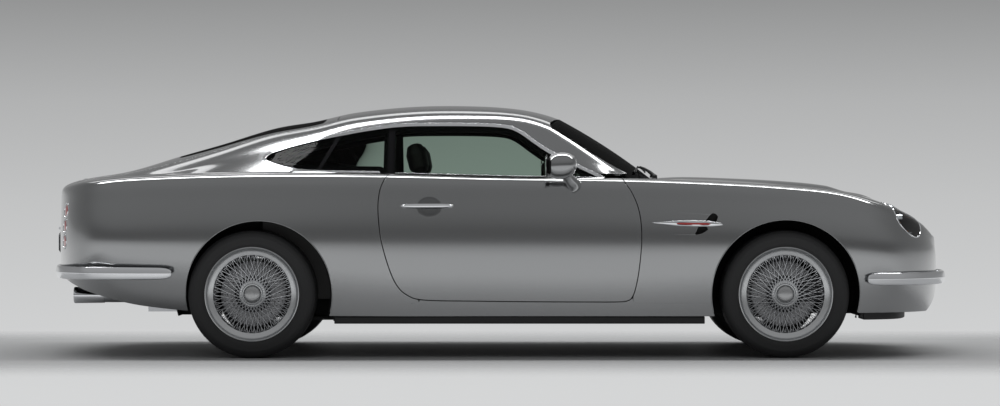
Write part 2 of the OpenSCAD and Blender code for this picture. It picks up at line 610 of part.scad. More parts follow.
module tyre() color("Black") rotate([-90, 0, 0]) rotate_extrude($fn = 96)
  polygon([[rim_r + 0.3, -100], [rim_r + 20, -116], [mix(rim_r, tyre_r, 0.5), -tyre_w / 2], [tyre_r - 20, -117],
    [tyre_r - 6, -105], [tyre_r, -80], [tyre_r, 80], [tyre_r - 6, 105], [tyre_r - 20, 117],
    [mix(rim_r, tyre_r, 0.5), tyre_w / 2], [rim_r + 20, 116], [rim_r + 0.3, 100]]);
module wheel() color("Silver") rotate([-90, 0, 0]) difference() {
  union() {
    rotate_extrude($fn = 96) polygon([[rim_r + 8, -114], [rim_r + 8, -107], [rim_r, -100],
      [rim_r - 0.1, 100], [rim_r + 8, 107], [rim_r + 8, 114], [rim_r - 8, 114], [rim_r - 10, 96],
      [rim_r - 24, 60], [rim_r - 24, -60],
      [rim_r - 10, -96], [rim_r - 8, -114]]);
    translate([0, 0, -disc_t - 4]) cylinder(h = disc_t, r = disc_r, $fn = 96);
    translate([0, 0, -disc_t - 4]) cylinder(h = 100, r = 70, $fn = 64);
    translate([0, 0, 60]) cylinder(h = 34, r = hub_r, $fn = 64);
    for (a = [0 : 36 : 324]) rotate([0, 0, a]) {
      rod([40, 0, 78], [rim_r - 16, 38, 30], 5);
      rod([60, 0, 46], [rim_r - 16, -38, 62], 5);
    }
  }
  translate([0, 0, -60]) cylinder(h = 130, r = journal_r + run_fit, $fn = 64);
}
module at_wheel(x, y, side) {
  translate([x, side * y, axle_z]) mirror([0, side < 0 ? 1 : 0, 0]) children();
}
module tyre_front_left() at_wheel(front_axle_x, fy, 1) tyre();
module tyre_front_right() at_wheel(front_axle_x, fy, -1) tyre();
module tyre_rear_left() at_wheel(rear_axle_x, ry, 1) tyre();
module tyre_rear_right() at_wheel(rear_axle_x, ry, -1) tyre();
module wheel_front_left() at_wheel(front_axle_x, fy, 1) wheel();
module wheel_front_right() at_wheel(front_axle_x, fy, -1) wheel();
module wheel_rear_left() at_wheel(rear_axle_x, ry, 1) wheel();
module wheel_rear_right() at_wheel(rear_axle_x, ry, -1) wheel();

floor_pan();
firewall();
wheel_liners();
front_wings();
rear_quarters();
rocker_panels();
roof_panel();
nose_panel();
tail_panel();
front_bumper();
rear_bumper();
grille();
headlamps();
tail_lamps();
windscreen();
quarter_glasses();
lower_trim();
exhaust();
engine_block();
front_seats();
rear_seats();
dashboard();
steering_wheel();
front_suspension();
rear_suspension();
door_left();
door_right();
door_glass_left();
door_glass_right();
mirror_left();
mirror_right();
bonnet();
hatch();
hatch_glass();
knuckle_left();
knuckle_right();
tyre_front_left();
tyre_front_right();
tyre_rear_left();
tyre_rear_right();
wheel_front_left();
wheel_front_right();
wheel_rear_left();
wheel_rear_right();
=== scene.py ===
# Looks of a two-door fastback coupe, in metres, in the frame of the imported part.
import math

import bmesh
import bpy
import numpy as np
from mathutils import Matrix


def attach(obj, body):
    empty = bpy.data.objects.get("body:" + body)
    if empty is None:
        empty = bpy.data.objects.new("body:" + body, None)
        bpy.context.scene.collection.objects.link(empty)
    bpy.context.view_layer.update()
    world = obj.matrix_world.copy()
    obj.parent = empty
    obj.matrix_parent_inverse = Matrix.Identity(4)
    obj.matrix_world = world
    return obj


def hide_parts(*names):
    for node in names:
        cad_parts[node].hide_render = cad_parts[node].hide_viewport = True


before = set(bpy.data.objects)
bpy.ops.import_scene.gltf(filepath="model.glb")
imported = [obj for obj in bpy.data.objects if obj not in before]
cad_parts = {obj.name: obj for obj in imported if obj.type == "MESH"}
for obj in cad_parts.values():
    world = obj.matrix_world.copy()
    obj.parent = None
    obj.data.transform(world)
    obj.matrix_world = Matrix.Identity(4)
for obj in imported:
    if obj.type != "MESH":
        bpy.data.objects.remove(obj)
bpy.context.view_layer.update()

# sizes, in millimetres as in the CAD source
NOSE_X, TAIL_X, NOSE_ROUND, TAIL_ROUND = 2343.0, -2376.0, 620.0, 400.0
FRONT_X, WHEELBASE, AXLE_Z = 1462.0, 2752.0, 330.0
REAR_X = FRONT_X - WHEELBASE
FRONT_Y, REAR_Y = 780.0, 802.0
ARCH_F, ARCH_R, ARCH_R_DX = 385.0, 380.0, 35.0
DOOR_FRONT, DOOR_REAR = 718.0, -641.0
BONNET_FRONT, BONNET_REAR = 2120.0, 850.0
HATCH_FRONT, HATCH_REAR = -868.0, -2235.0

# columns: station, sill half width, sill height, widest half width, widest height, shoulder half width,
# shoulder height, deck edge half width, deck edge height
SIDE = np.array([
    [-2390, 800, 440, 880, 600, 800, 800, 700, 850], [-2300, 800, 400, 885, 600, 815, 850, 720, 888],
    [-2150, 810, 340, 895, 598, 835, 880, 740, 918], [-1850, 840, 268, 925, 594, 872, 898, 765, 944],
    [-1290, 870, 225, 946, 592, 900, 912, 782, 962], [-640, 868, 216, 918, 590, 880, 917, 765, 958],
    [0, 862, 216, 905, 590, 868, 910, 752, 942], [640, 866, 216, 908, 590, 866, 905, 762, 930],
    [1100, 872, 216, 922, 590, 872, 890, 770, 912], [1462, 872, 214, 932, 588, 872, 866, 770, 892],
    [1750, 865, 208, 925, 580, 858, 832, 755, 862], [2000, 850, 204, 910, 562, 835, 755, 735, 795],
    [2180, 835, 205, 895, 540, 820, 660, 720, 712], [2290, 820, 290, 885, 520, 815, 585, 730, 628],
    [2343, 810, 420, 880, 500, 820, 540, 760, 560]], float)
# columns: station, rail half width, rail height, middle height
CABIN = np.array([
    [-2390, 640, 858, 872], [-2310, 650, 893, 908], [-2200, 655, 916, 935], [-1982, 680, 934, 974],
    [-1722, 690, 956, 1056], [-1500, 640, 1020, 1120], [-1219, 572, 1106, 1206], [-1001, 546, 1160, 1243],
    [-783, 538, 1210, 1290], [-455, 540, 1244, 1322], [-128, 545, 1250, 1323], [90, 552, 1240, 1306],
    [235, 572, 1198, 1276], [340, 602, 1129, 1236], [450, 638, 1057, 1166], [560, 676, 985, 1096],
    [660, 712, 926, 1030]], float)
# columns: station, bulge half width, bulge edge height, middle height
DECK = np.array([
    [560, 330, 922, 926], [800, 325, 926, 934], [963, 318, 929, 941], [1200, 300, 921, 935], [1500, 280, 898, 920],
    [1740, 260, 868, 896], [1840, 250, 852, 866], [1944, 260, 832, 845], [2054, 280, 783, 794],
    [2163, 300, 733, 744], [2272, 320, 672, 684], [2320, 340, 612, 618], [2343, 360, 570, 572]], float)


def at(rows, x, k):
    """Smooth value of column k at stations x."""
    xs, ys = rows[:, 0], rows[:, k]
    m = np.empty(len(xs))
    m[1:-1] = (ys[2:] - ys[:-2]) / (xs[2:] - xs[:-2])
    m[0], m[-1] = (ys[1] - ys[0]) / (xs[1] - xs[0]), (ys[-1] - ys[-2]) / (xs[-1] - xs[-2])
    i = np.clip(np.searchsorted(xs, x, side="right") - 1, 0, len(xs) - 2)
    h = xs[i + 1] - xs[i]
    t = (x - xs[i]) / h
    return (ys[i] * (2 * t**3 - 3 * t**2 + 1) + m[i] * h * (t**3 - 2 * t**2 + t)
            + ys[i + 1] * (3 * t**2 - 2 * t**3) + m[i + 1] * h * (t**3 - t**2))


def round_off(d, length, n):
    return np.where(d >= length, 1.0, np.power(1 - np.power(1 - np.clip(d, 0.6, length) / length, n), 1 / n))


def plan(x):
    return round_off(x - TAIL_X, TAIL_ROUND, 2.3) * round_off(NOSE_X - x, NOSE_ROUND, 2.3)


def curve(ctrl, t):
    """Clamped cubic curve; ctrl is a list of (half width, height) arrays, t an array."""
    q = [ctrl[0], ctrl[0]] + list(ctrl) + [ctrl[-1], ctrl[-1]]
    a = np.array([c[0] + 0 * t for c in q])
    b = np.array([c[1] + 0 * t for c in q])
    m = len(q) - 3
    s = np.clip(t * m, 0, m - 1e-6)
    i = np.floor(s).astype(int)
    f = s - i
    w = [(1 - f)**3 / 6, (3 * f**3 - 6 * f**2 + 4) / 6, (3 * f**2 - 3 * f**3 + 3 * f + 1) / 6, f**3 / 6]
    j = np.arange(len(t))
    return sum(w[k] * a[i + k, j] for k in range(4)), sum(w[k] * b[i + k, j] for k in range(4))


def mix(a, b, t):
    return a + (b - a) * t


def side(x, t):
    g = plan(x)
    ys, zs, yw, zw = at(SIDE, x, 1) * g, at(SIDE, x, 2), at(SIDE, x, 3) * g, at(SIDE, x, 4)
    yh, zh, yb, zb = at(SIDE, x, 5) * g, at(SIDE, x, 6), at(SIDE, x, 7) * g, at(SIDE, x, 8)
    y, z = curve([(ys, zs), (mix(ys, yw, 0.6), mix(zs, zw, 0.33)), (yw + 3, mix(zs, zw, 0.82)),
                  (yw, mix(zw, zh, 0.3)), (mix(yw, yh, 0.75), mix(zw, zh, 0.78)), (yh, mix(zh, zb, 0.15)),
                  (mix(yh, yb, 0.35), mix(zh, zb, 0.85)), (yb, zb)], t)
    return np.stack([x, y, z], 1)


def cabin(x, t):
    g = plan(x)
    yb, zb, yr = at(SIDE, x, 7) * g, at(SIDE, x, 8), at(CABIN, x, 1) * g
    zr, zc, bow = at(CABIN, x, 2), at(CABIN, x, 3), 8
    y, z = curve([(yb, zb), (mix(yb, yr, 0.4) + bow, mix(zb, zr, 0.4)), (mix(yb, yr, 0.8) + bow, mix(zb, zr, 0.8)),
                  (yr, mix(zr, zc, 0.12)), (yr * 0.84, mix(zr, zc, 0.64)), (yr * 0.45, mix(zr, zc, 0.97)),
                  (0 * yr, zc)], t)
    return np.stack([x, y, z], 1)


def deck(x, t):
    g = plan(x)
    yb, zb, yr = at(SIDE, x, 7) * g, at(SIDE, x, 8), at(DECK, x, 1) * g
    zr, zc = at(DECK, x, 2), at(DECK, x, 3)
    y, z = curve([(yb, zb), (mix(yb, yr, 0.5), mix(zb, zr, 0.72)), (yr + 60 * g, zr - 2), (yr, zr),
                  (yr - 40 * g, mix(zr, zc, 0.8)), (yr * 0.4, zc), (0 * yr, zc)], t)
    return np.stack([x, y, z], 1)


def screen(v, t):
    """Windscreen: v runs up the glass, t from the middle to the side."""
    x0, x1, y = 806 - 142 * t * t, 308 - 66 * t * t, mix(690, 560, v) * t
    z0, z1, sag = 930 - 8 * t * t, 1254 - 52 * t * t, 14 * 4 * v * (1 - v)
    return np.stack([mix(x0, x1, v) + 0.5 * sag, y, mix(z0, z1, v) + 0.8 * sag], 1)


# section parameter s: 0 to 1 up the side, 1 to 2 over the cabin or the bonnet deck
def body(x, s):
    p = side(x, np.clip(s, 0, 1))
    q = cabin(x, np.clip(s - 1, 0, 1))
    return np.where((s <= 1)[:, None], p, q)


def front_body(x, s):
    p = side(x, np.clip(s, 0, 1))
    q = deck(x, np.clip(s - 1, 0, 1))
    return np.where((s <= 1)[:, None], p, q)


def normals(fn, u, v, du=2.0, dv=0.004, vlim=(0, 2), flip=1):
    """Outward unit normals by small steps; a crease at whole v keeps each side's own normal."""
    lo, hi = np.clip(v - dv, *vlim), np.clip(v + dv, *vlim)
    base = np.floor(np.clip(v, vlim[0], vlim[1] - 1e-6))
    lo, hi = np.maximum(lo, base), np.minimum(hi, base + 1 - 1e-6)
    a = fn(u + du, v) - fn(u - du, v)
    b = fn(u, hi) - fn(u, lo)
    n = np.cross(b, a) * flip
    return n / np.maximum(np.linalg.norm(n, axis=1), 1e-9)[:, None]


# outlines, as in the CAD source
def smooth(points, n=10, closed=True):
    """Dense Catmull-Rom curve through points."""
    p = np.array(points, float)
    out = []
    m = len(p)
    rng = range(m) if closed else range(m - 1)
    for i in rng:
        a, b, c, d = (p[(i + k) % m] if closed else p[min(max(i + k, 0), m - 1)] for k in (-1, 0, 1, 2))
        for t in np.arange(n) / n:
            out.append(0.5 * (2 * b + (c - a) * t + (2 * a - 5 * b + 4 * c - d) * t * t
                              + (3 * b - 3 * c + d - a) * t**3))
    if not closed:
        out.append(p[-1])
    return np.array(out)


DOOR = smooth([[DOOR_FRONT - 100, 1030], [DOOR_FRONT - 97, 960], [DOOR_FRONT - 88, 912], [DOOR_FRONT - 50, 856],
               [DOOR_FRONT - 14, 764], [DOOR_FRONT, 650], [DOOR_FRONT - 6, 520], [DOOR_FRONT - 22, 400],
               [DOOR_FRONT - 44, 320], [DOOR_FRONT - 72, 295], [DOOR_FRONT - 130, 289], [420, 289], [150, 290],
               [-120, 293], [-404, 299], [DOOR_REAR + 150, 325], [DOOR_REAR + 98, 374], [DOOR_REAR + 57, 464],
               [DOOR_REAR + 16, 613], [DOOR_REAR, 763], [DOOR_REAR + 8, 860], [DOOR_REAR + 30, 918],
               [DOOR_REAR + 56, 960], [DOOR_REAR + 60, 1030]], 8)
WINDOW = np.concatenate([
    smooth([[522, 925], [400, 985], [258, 1056], [172, 1112], [112, 1156], [60, 1185], [0, 1199], [-116, 1206],
            [-330, 1208], [-532, 1204], [-700, 1183], [-856, 1155], [-1000, 1125], [-1125, 1092], [-1205, 1063],
            [-1236, 1041], [-1234, 1022], [-1190, 1001], [-1105, 978], [-1000, 968], [-900, 964.5]], 8, False),
    np.array([[-640, 961], [-640, 880], [522, 880]], float)])
ROCKER = np.array([[-470, 150], [1180, 150], [1180, 284], [676, 284], [676, 322], [-430, 322], [-430, 284],
                   [-470, 284]], float)
BONNET_HALF = [[BONNET_REAR, 0], [BONNET_REAR - 8, 200], [BONNET_REAR - 35, 400], [BONNET_REAR - 66, 530],
               [BONNET_REAR - 74, 596], [BONNET_REAR - 40, 626], [BONNET_REAR + 40, 636], [1200, 645], [1550, 640],
               [1800, 590], [1960, 500], [BONNET_FRONT - 60, 370], [BONNET_FRONT - 14, 190], [BONNET_FRONT, 0]]
HATCH_HALF = [[HATCH_FRONT, 0], [HATCH_FRONT, 200], [HATCH_FRONT - 1, 400], [HATCH_FRONT - 12, 460],
              [HATCH_FRONT - 60, 488], [-1300, 500], [-1560, 545], [-1760, 585], [-2100, 600], [HATCH_REAR + 45, 588],
              [HATCH_REAR + 10, 550], [HATCH_REAR - 4, 400], [HATCH_REAR - 8, 0]]
HATCH_GLASS_HALF = [[-935, 0], [-936, 300], [-944, 410], [-985, 442], [-1300, 452], [-1560, 470], [-1670, 468],
                    [-1708, 430], [-1718, 250], [-1722, 0]]
SCREEN_HALF = [[308, 0], [304, 140], [291, 280], [271, 420], [252, 525], [262, 566], [300, 580], [420, 617], [560, 660],
               [640, 681], [672, 672], [700, 610], [742, 480], [780, 300], [800, 140], [806, 0]]


def whole(half):
    """A half plan outline mirrored into a closed smooth one."""
    h = smooth(half, 6, False)
    return np.concatenate([h, (h * [1, -1])[::-1][1:-1]])


BONNET, HATCH, HATCH_GLASS, SCREEN = (whole(h) for h in (BONNET_HALF, HATCH_HALF, HATCH_GLASS_HALF, SCREEN_HALF))


def sdf(poly, a, b):
    """Signed distance to a closed outline, positive inside."""
    p = np.stack([a, b], 1)
    q = np.roll(poly, -1, 0)
    best = np.full(len(p), 1e18)
    inside = np.zeros(len(p), bool)
    for s, e in zip(poly, q):
        d = e - s
        w = p - s
        t = np.clip((w @ d) / max(d @ d, 1e-12), 0, 1)
        r = w - t[:, None] * d
        best = np.minimum(best, (r * r).sum(1))
        c = (s[1] <= p[:, 1]) != (e[1] <= p[:, 1])
        if abs(d[1]) > 1e-12:
            inside ^= c & (p[:, 0] < s[0] + (p[:, 1] - s[1]) * d[0] / d[1])
    return np.where(inside, 1, -1) * np.sqrt(best)


# building trimmed panels
def trimmed(fn, us, vs, keep, flip=1, vlim=(0, 2), norm=None):
    """Grid of fn over us and vs, cut where keep turns negative. Returns points, normals, faces, section values."""
    U, V = np.meshgrid(us, vs, indexing="ij")
    nu, nv = U.shape
    u, v = U.ravel(), V.ravel()
    P = fn(u, v)
    f = keep(P, u, v)
    inside = f > 0
    edges, ends = {}, []

    def cross(i, j):
        key = (i, j) if i < j else (j, i)
        if key not in edges:
            edges[key] = nu * nv + len(edges)
            ends.append(key)
        return edges[key]

    faces = []
    ins = inside.reshape(nu, nv)
    for i in range(nu - 1):
        for j in range(nv - 1):
            quad = (i * nv + j, (i + 1) * nv + j, (i + 1) * nv + j + 1, i * nv + j + 1)
            k = ins[i, j] + ins[i + 1, j] + ins[i + 1, j + 1] + ins[i, j + 1]
            if k == 0:
                continue
            if k == 4:
                faces.append(quad)
                continue
            poly = []
            for a, b in zip(quad, quad[1:] + quad[:1]):
                if inside[a]:
                    poly.append(a)
                if inside[a] != inside[b]:
                    poly.append(cross(a, b))
            if len(poly) >= 3:
                faces.append(tuple(poly))
    if edges:
        i0, i1 = np.array(ends).T
        a0, b0, a1, b1 = u[i0], v[i0], u[i1], v[i1]
        f0 = f[i0]
        lo, hi = np.zeros(len(a0)), np.ones(len(a0))
        for _ in range(9):
            mid = (lo + hi) / 2
            um, vm = mix(a0, a1, mid), mix(b0, b1, mid)
            fm = keep(fn(um, vm), um, vm)
            same = (fm > 0) == (f0 > 0)
            lo, hi = np.where(same, mid, lo), np.where(same, hi, mid)
        t = (lo + hi) / 2
        u = np.concatenate([u, mix(a0, a1, t)])
        v = np.concatenate([v, mix(b0, b1, t)])
        P = fn(u, v)
    N = norm(fn, u, v) if norm else normals(fn, u, v, vlim=vlim, flip=flip)
    used = np.unique(np.concatenate([np.array(q) for q in faces]))
    back = np.full(len(P), -1)
    back[used] = np.arange(len(used))
    if flip > 0:
        faces = [tuple(back[list(q)])[::-1] for q in faces]
    else:
        faces = [tuple(back[list(q)]) for q in faces]
    return P[used], N[used], faces, v[used]


def rim_edges(faces):
    count = {}
    for q in faces:
        for a, b in zip(q, q[1:] + q[:1]):
            count[(a, b)] = 1
    return [(a, b) for (a, b) in count if (b, a) not in count]


def finish_mesh(name, P, N, faces, mat, mirror=False):
    """Object from points in millimetres with its own normals."""
    me = bpy.data.meshes.new(name)
    if mirror:
        P, N = P * [1, -1, 1], N * [1, -1, 1]
        faces = [tuple(q)[::-1] for q in faces]
    me.from_pydata([tuple(p) for p in (P * 0.001).tolist()], [], [tuple(int(i) for i in q) for q in faces])
    me.materials.append(mat)
    me.polygons.foreach_set("use_smooth", np.ones(len(me.polygons), bool))
    me.update()
    me.normals_split_custom_set_from_vertices([tuple(n) for n in N.tolist()])
    o = bpy.data.objects.new(name, me)
    bpy.context.scene.collection.objects.link(o)
    return o


def panel(name, cut, mat, depth=14.0, bevel=1.6, mirror=False, sink=0.0, seam=None):
    """A skin with a rounded return flange round its edges, but not along the middle or at section value seam."""
    P, N, faces, V = cut
    rim = [(a, b) for a, b in rim_edges(faces) if not (abs(P[a][1]) < 0.01 and abs(P[b][1]) < 0.01)]
    if seam is not None:
        rim = [(a, b) for a, b in rim if not (abs(V[a] - seam) < 1e-6 and abs(V[b] - seam) < 1e-6)]
    if sink:
        P = P - N * sink
    if not rim:
        return finish_mesh(name, P, N, faces, mat, mirror)
    out = {}
    for a, b in rim:
        d = P[b] - P[a]
        for i in (a, b):
            o = np.cross(d, N[i])
            l = np.linalg.norm(o)
            if l > 1e-9:
                out.setdefault(i, []).append(o / l)
    ids = sorted(out)
    side_v = np.array([np.sum(out[i], 0) / max(np.linalg.norm(np.sum(out[i], 0)), 1e-9) for i in ids])
    base = P[ids]
    n = N[ids]
    k0 = len(P)
    ring1 = base + side_v * bevel * 0.7 - n * bevel * 0.35
    ring2 = base + side_v * bevel - n * bevel * 1.2
    ring3 = base + side_v * bevel - n * depth
    pts = np.concatenate([P, ring1, ring2, ring3])
    nn1 = n * 0.7 + side_v * 0.7
    nor = np.concatenate([N, nn1, side_v, side_v])
    nor /= np.maximum(np.linalg.norm(nor, axis=1), 1e-9)[:, None]
    m = len(ids)
    where = {i: k for k, i in enumerate(ids)}
    fs = list(faces)
    for a, b in rim:
        ka, kb = where[a], where[b]
        fs.append((b, a, k0 + ka, k0 + kb))
        fs.append((k0 + kb, k0 + ka, k0 + m + ka, k0 + m + kb))
        fs.append((k0 + m + kb, k0 + m + ka, k0 + 2 * m + ka, k0 + 2 * m + kb))
    return finish_mesh(name, pts, nor, fs, mat, mirror)


def steps(a, b, size):
    return np.linspace(a, b, max(2, int(abs(b - a) / size) + 1))


def nose_steps(x0, size=12.0):
    d = NOSE_X - x0
    a = np.linspace(0, 1, int(d / size * 1.25) + 8)
    return np.unique(NOSE_X - 0.6 - (d - 0.6) * (1 - a)**1.7)


def tail_steps(x1, size=12.0):
    d = x1 - TAIL_X
    a = np.linspace(0, 1, int(d / size * 1.25) + 8)
    return np.unique(TAIL_X + 0.6 + (d - 0.6) * a**1.7)


# materials
def material(name, color, rough=0.5, metal=0.0, coat=0.0, coat_rough=0.03, spec=0.5, bump=None):
    """Principled surface; bump is (kind of texture, scale, strength, distance)."""
    m = bpy.data.materials.new(name)
    m.use_nodes = True
    nt = m.node_tree
    b = nt.nodes["Principled BSDF"]
    b.inputs["Base Color"].default_value = (*color, 1)
    b.inputs["Roughness"].default_value = rough
    b.inputs["Metallic"].default_value = metal
    b.inputs["Coat Weight"].default_value = coat
    b.inputs["Coat Roughness"].default_value = coat_rough
    b.inputs["IOR"].default_value = 1.5
    b.inputs["Specular IOR Level"].default_value = spec
    if bump:
        kind, scale, strength, dist = bump
        tc = nt.nodes.new("ShaderNodeTexCoord")
        if kind == "noise":
            t = nt.nodes.new("ShaderNodeTexNoise")
            t.inputs["Scale"].default_value = scale
            t.inputs["Detail"].default_value = 3
            out = t.outputs["Fac"]
        else:
            t = nt.nodes.new("ShaderNodeTexVoronoi")
            t.inputs["Scale"].default_value = scale
            out = t.outputs["Distance"]
        nt.links.new(tc.outputs["Object"], t.inputs["Vector"])
        bp = nt.nodes.new("ShaderNodeBump")
        bp.inputs["Strength"].default_value = strength
        bp.inputs["Distance"].default_value = dist
        nt.links.new(out, bp.inputs["Height"])
        nt.links.new(bp.outputs["Normal"], b.inputs["Normal"])
    return m


PAINT = material("paint_silver", (0.30, 0.305, 0.31), 0.15, 0.94, coat=1.0, coat_rough=0.015)
CHROME = material("chrome", (0.82, 0.83, 0.85), 0.06, 1.0)
SATIN = material("satin_metal", (0.66, 0.67, 0.69), 0.22, 1.0)
STEEL = material("disc_steel", (0.32, 0.32, 0.33), 0.35, 1.0)
# near-black metal for the running gear and the disc bell; the same colour is painted shade in the rim barrels and the
# disc's hole dots
DARK_METAL_AND_SHADE = material("dark_metal", (0.035, 0.035, 0.038), 0.5, 0.6, bump=("noise", 60, 0.2, 0.001))
ENGINE = material("engine_alloy", (0.28, 0.28, 0.29), 0.45, 0.9, bump=("noise", 80, 0.3, 0.001))
BLACK = material("black_trim", (0.012, 0.012, 0.013), 0.55, bump=("noise", 400, 0.08, 0.0005))
GLOSSBLACK = material("gloss_black", (0.008, 0.008, 0.009), 0.12, spec=0.08)
LINER = material("liner_felt", (0.010, 0.010, 0.011), 0.9, bump=("noise", 300, 0.4, 0.002))
RUBBER = material("tyre_rubber", (0.016, 0.016, 0.017), 0.62, bump=("noise", 500, 0.08, 0.0004))
HIDE = material("seat_hide", (0.055, 0.050, 0.046), 0.45, bump=("voronoi", 420, 0.12, 0.0006))
TRIM = material("cabin_hide", (0.022, 0.021, 0.021), 0.5, bump=("voronoi", 420, 0.12, 0.0006))
CARPET = material("carpet", (0.018, 0.017, 0.017), 0.95, bump=("noise", 700, 0.6, 0.003))
HEADLINER = material("headlining", (0.16, 0.155, 0.15), 0.9, bump=("noise", 600, 0.2, 0.001))
PLATE_WHITE = material("blank_plate", (0.62, 0.63, 0.64), 0.35, coat=0.4)
RED = material("red_lens", (0.42, 0.008, 0.008), 0.08, coat=1.0, spec=0.6)
AMBER = material("amber_lens", (0.75, 0.24, 0.02), 0.1, coat=1.0)
SILVER_LAMP = material("reflector", (0.85, 0.86, 0.88), 0.12, 1.0)
FLOOR_METAL = material("floor_coating", (0.03, 0.03, 0.032), 0.7, bump=("noise", 90, 0.3, 0.002))


def glass(name, tint, shine=0.9):
    """Thin glass: mostly clear by a mix of see-through and a glossy coat."""
    m = bpy.data.materials.new(name)
    m.use_nodes = True
    nt = m.node_tree
    nt.nodes.clear()
    out = nt.nodes.new("ShaderNodeOutputMaterial")
    tr = nt.nodes.new("ShaderNodeBsdfTransparent")
    tr.inputs["Color"].default_value = (*tint, 1)
    gl = nt.nodes.new("ShaderNodeBsdfGlossy")
    gl.inputs["Color"].default_value = (shine, shine, shine, 1)
    gl.inputs["Roughness"].default_value = 0.0
    fr = nt.nodes.new("ShaderNodeFresnel")
    fr.inputs["IOR"].default_value = 1.52
    mx = nt.nodes.new("ShaderNodeMixShader")
    nt.links.new(fr.outputs[0], mx.inputs[0])
    nt.links.new(tr.outputs[0], mx.inputs[1])
    nt.links.new(gl.outputs[0], mx.inputs[2])
    nt.links.new(mx.outputs[0], out.inputs[0])
    return m


GLASS = glass("window_glass", (0.58, 0.665, 0.61), shine=0.12)
LENS = glass("lamp_lens", (0.93, 0.95, 0.96))

# side and whether the piece is mirrored; the car is drawn as its left half
PAIRS = [("left", False), ("right", True)]


def place(o, body_name, *nodes, slot=None):
    """Put an object on its body; it stands for the CAD nodes named."""
    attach(o, body_name)
    if nodes:
        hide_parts(*nodes)
    return o


def pair_panels(cut, *specs):
    """Both sides' pieces of one trimmed sheet; a spec is (name, material, body, left nodes, right nodes, slot,
    options), where {} in a name stands for the side."""
    for side_name, m in PAIRS:
        for name, mat, body_name, left, right, slot, options in specs:
            o = panel(f"{name}_{side_name}", cut, mat, mirror=m, **options)
            place(o, body_name.format(side_name), *(right if m else left), slot=slot)


def stadium(y, z, cy, half, r):
    """Distance inside a slot shape with round ends."""
    q = np.maximum(np.abs(y) - half, 0)
    return r - np.sqrt(q * q + (z - cy)**2)


# painted panels; half a shut line, and a value for where a cut does not reach
GAP, FAR = 3.4, 1e3
LAMP_Y, LAMP_Z, LAMP_R = 655.0, 712.0, 92.0
INTAKE = np.array([[-300, 262], [-275, 340], [275, 340], [300, 262]], float)
VENT_A = smooth([[1046, 702], [1065, 735], [1076, 746], [1092, 749], [1105, 742], [1112, 729], [1106, 714],
                 [1098, 700]], 6)
VENT_B = smooth([[1014, 682], [1068, 682], [1066, 671], [1056, 659], [1038, 646], [1015, 638], [990, 636],
                 [996, 650]], 6)


def keep_front(P, u, v):
    x, y, z = P.T
    cuts = [np.where(v < 1, -sdf(DOOR, x, z) - GAP, FAR), np.hypot(x - FRONT_X, z - AXLE_Z) - ARCH_F,
            np.where(v > 1, -sdf(BONNET, x, y) - GAP, FAR), -sdf(ROCKER, x, z) - 0.6,
            np.where(x > 1830, z - 233, FAR), np.maximum(x - 862, y - 612), np.maximum(x - 712, y - 706),
            np.where(x > 2100, -stadium(y, z, 535, 270, 88), FAR), np.where(x > 2100, -sdf(INTAKE, y, z), FAR),
            np.where(x > 1950, np.hypot(y - LAMP_Y, z - LAMP_Z) - LAMP_R, FAR),
            np.where(y > 800, -sdf(VENT_A, x, z), FAR), np.where(y > 800, -sdf(VENT_B, x, z), FAR)]
    return np.min(cuts, 0)


front_cut = trimmed(front_body, np.concatenate([steps(600, 1830, 11), nose_steps(1842)]), np.linspace(0, 2, 121),
                    keep_front)
pair_panels(front_cut, ("front_wing_skin", PAINT, "car_body", ["front_wings", "nose_panel"], [], "paint", {}),
            ("front_wing_inner", LINER, "car_body", [], [], None, dict(sink=9, depth=3, bevel=-3)))


def keep_door(P, u, v):
    return sdf(DOOR, P[:, 0], P[:, 2]) - GAP


door_cut = trimmed(side, steps(-650, 726, 11), np.linspace(0, 1, 71), keep_door, vlim=(0, 1))
pair_panels(door_cut, ("door_skin", PAINT, "door_{}_body", ["door_left"], ["door_right"], "paint", dict(depth=40)),
            ("door_inner", TRIM, "door_{}_body", [], [], None, dict(sink=42, depth=1, bevel=-2)))


def keep_quarter(P, u, v):
    x, y, z = P.T
    k = np.minimum(-sdf(DOOR, x, z) - GAP, np.hypot(x - REAR_X - ARCH_R_DX, z - AXLE_Z) - ARCH_R)
    return np.minimum(k, -sdf(ROCKER, x, z) - 0.6)


quarter_cut = trimmed(side, np.concatenate([tail_steps(-2040), steps(-2028, -380, 11)]), np.linspace(0, 1, 71),
                      keep_quarter, vlim=(0, 1))
pair_panels(quarter_cut, ("rear_quarter_skin", PAINT, "car_body", ["rear_quarters"], [], "paint", dict(seam=1.0)),
            ("rear_quarter_inner", LINER, "car_body", [], [], None, dict(sink=14, depth=3, bevel=-3)))


def keep_upper(P, u, v):
    x, y, z = P.T
    k = np.minimum(-sdf(WINDOW, x, z) - 0.5, -sdf(HATCH, x, y) - GAP)
    k = np.minimum(k, np.where(x > 200, -sdf(SCREEN, x, y) - 1.0, FAR))
    return np.minimum(k, np.where(x > 500, z - 955, FAR))


upper_cut = trimmed(cabin, np.concatenate([tail_steps(-2040), steps(-2028, 655, 11)]), np.linspace(0, 1, 85),
                    keep_upper, vlim=(0, 1))
pair_panels(upper_cut, ("roof_skin", PAINT, "car_body", ["roof_panel", "tail_panel"], [], "paint", dict(seam=0.0)),
            ("roof_lining", HEADLINER, "car_body", [], [], None, dict(sink=24, depth=2, bevel=-4, seam=0.0)))


def keep_rocker(P, u, v):
    x, y, z = P.T
    k = np.minimum(sdf(ROCKER, x, z) - 0.6, -sdf(DOOR, x, z) - GAP)
    return np.minimum(k, np.hypot(x - FRONT_X, z - AXLE_Z) - ARCH_F)


rocker_cut = trimmed(side, steps(-480, 1190, 14), np.linspace(0, 0.4, 24), keep_rocker, vlim=(0, 1))
pair_panels(rocker_cut, ("rocker_skin", PAINT, "car_body", ["rocker_panels"], [], "paint", {}))


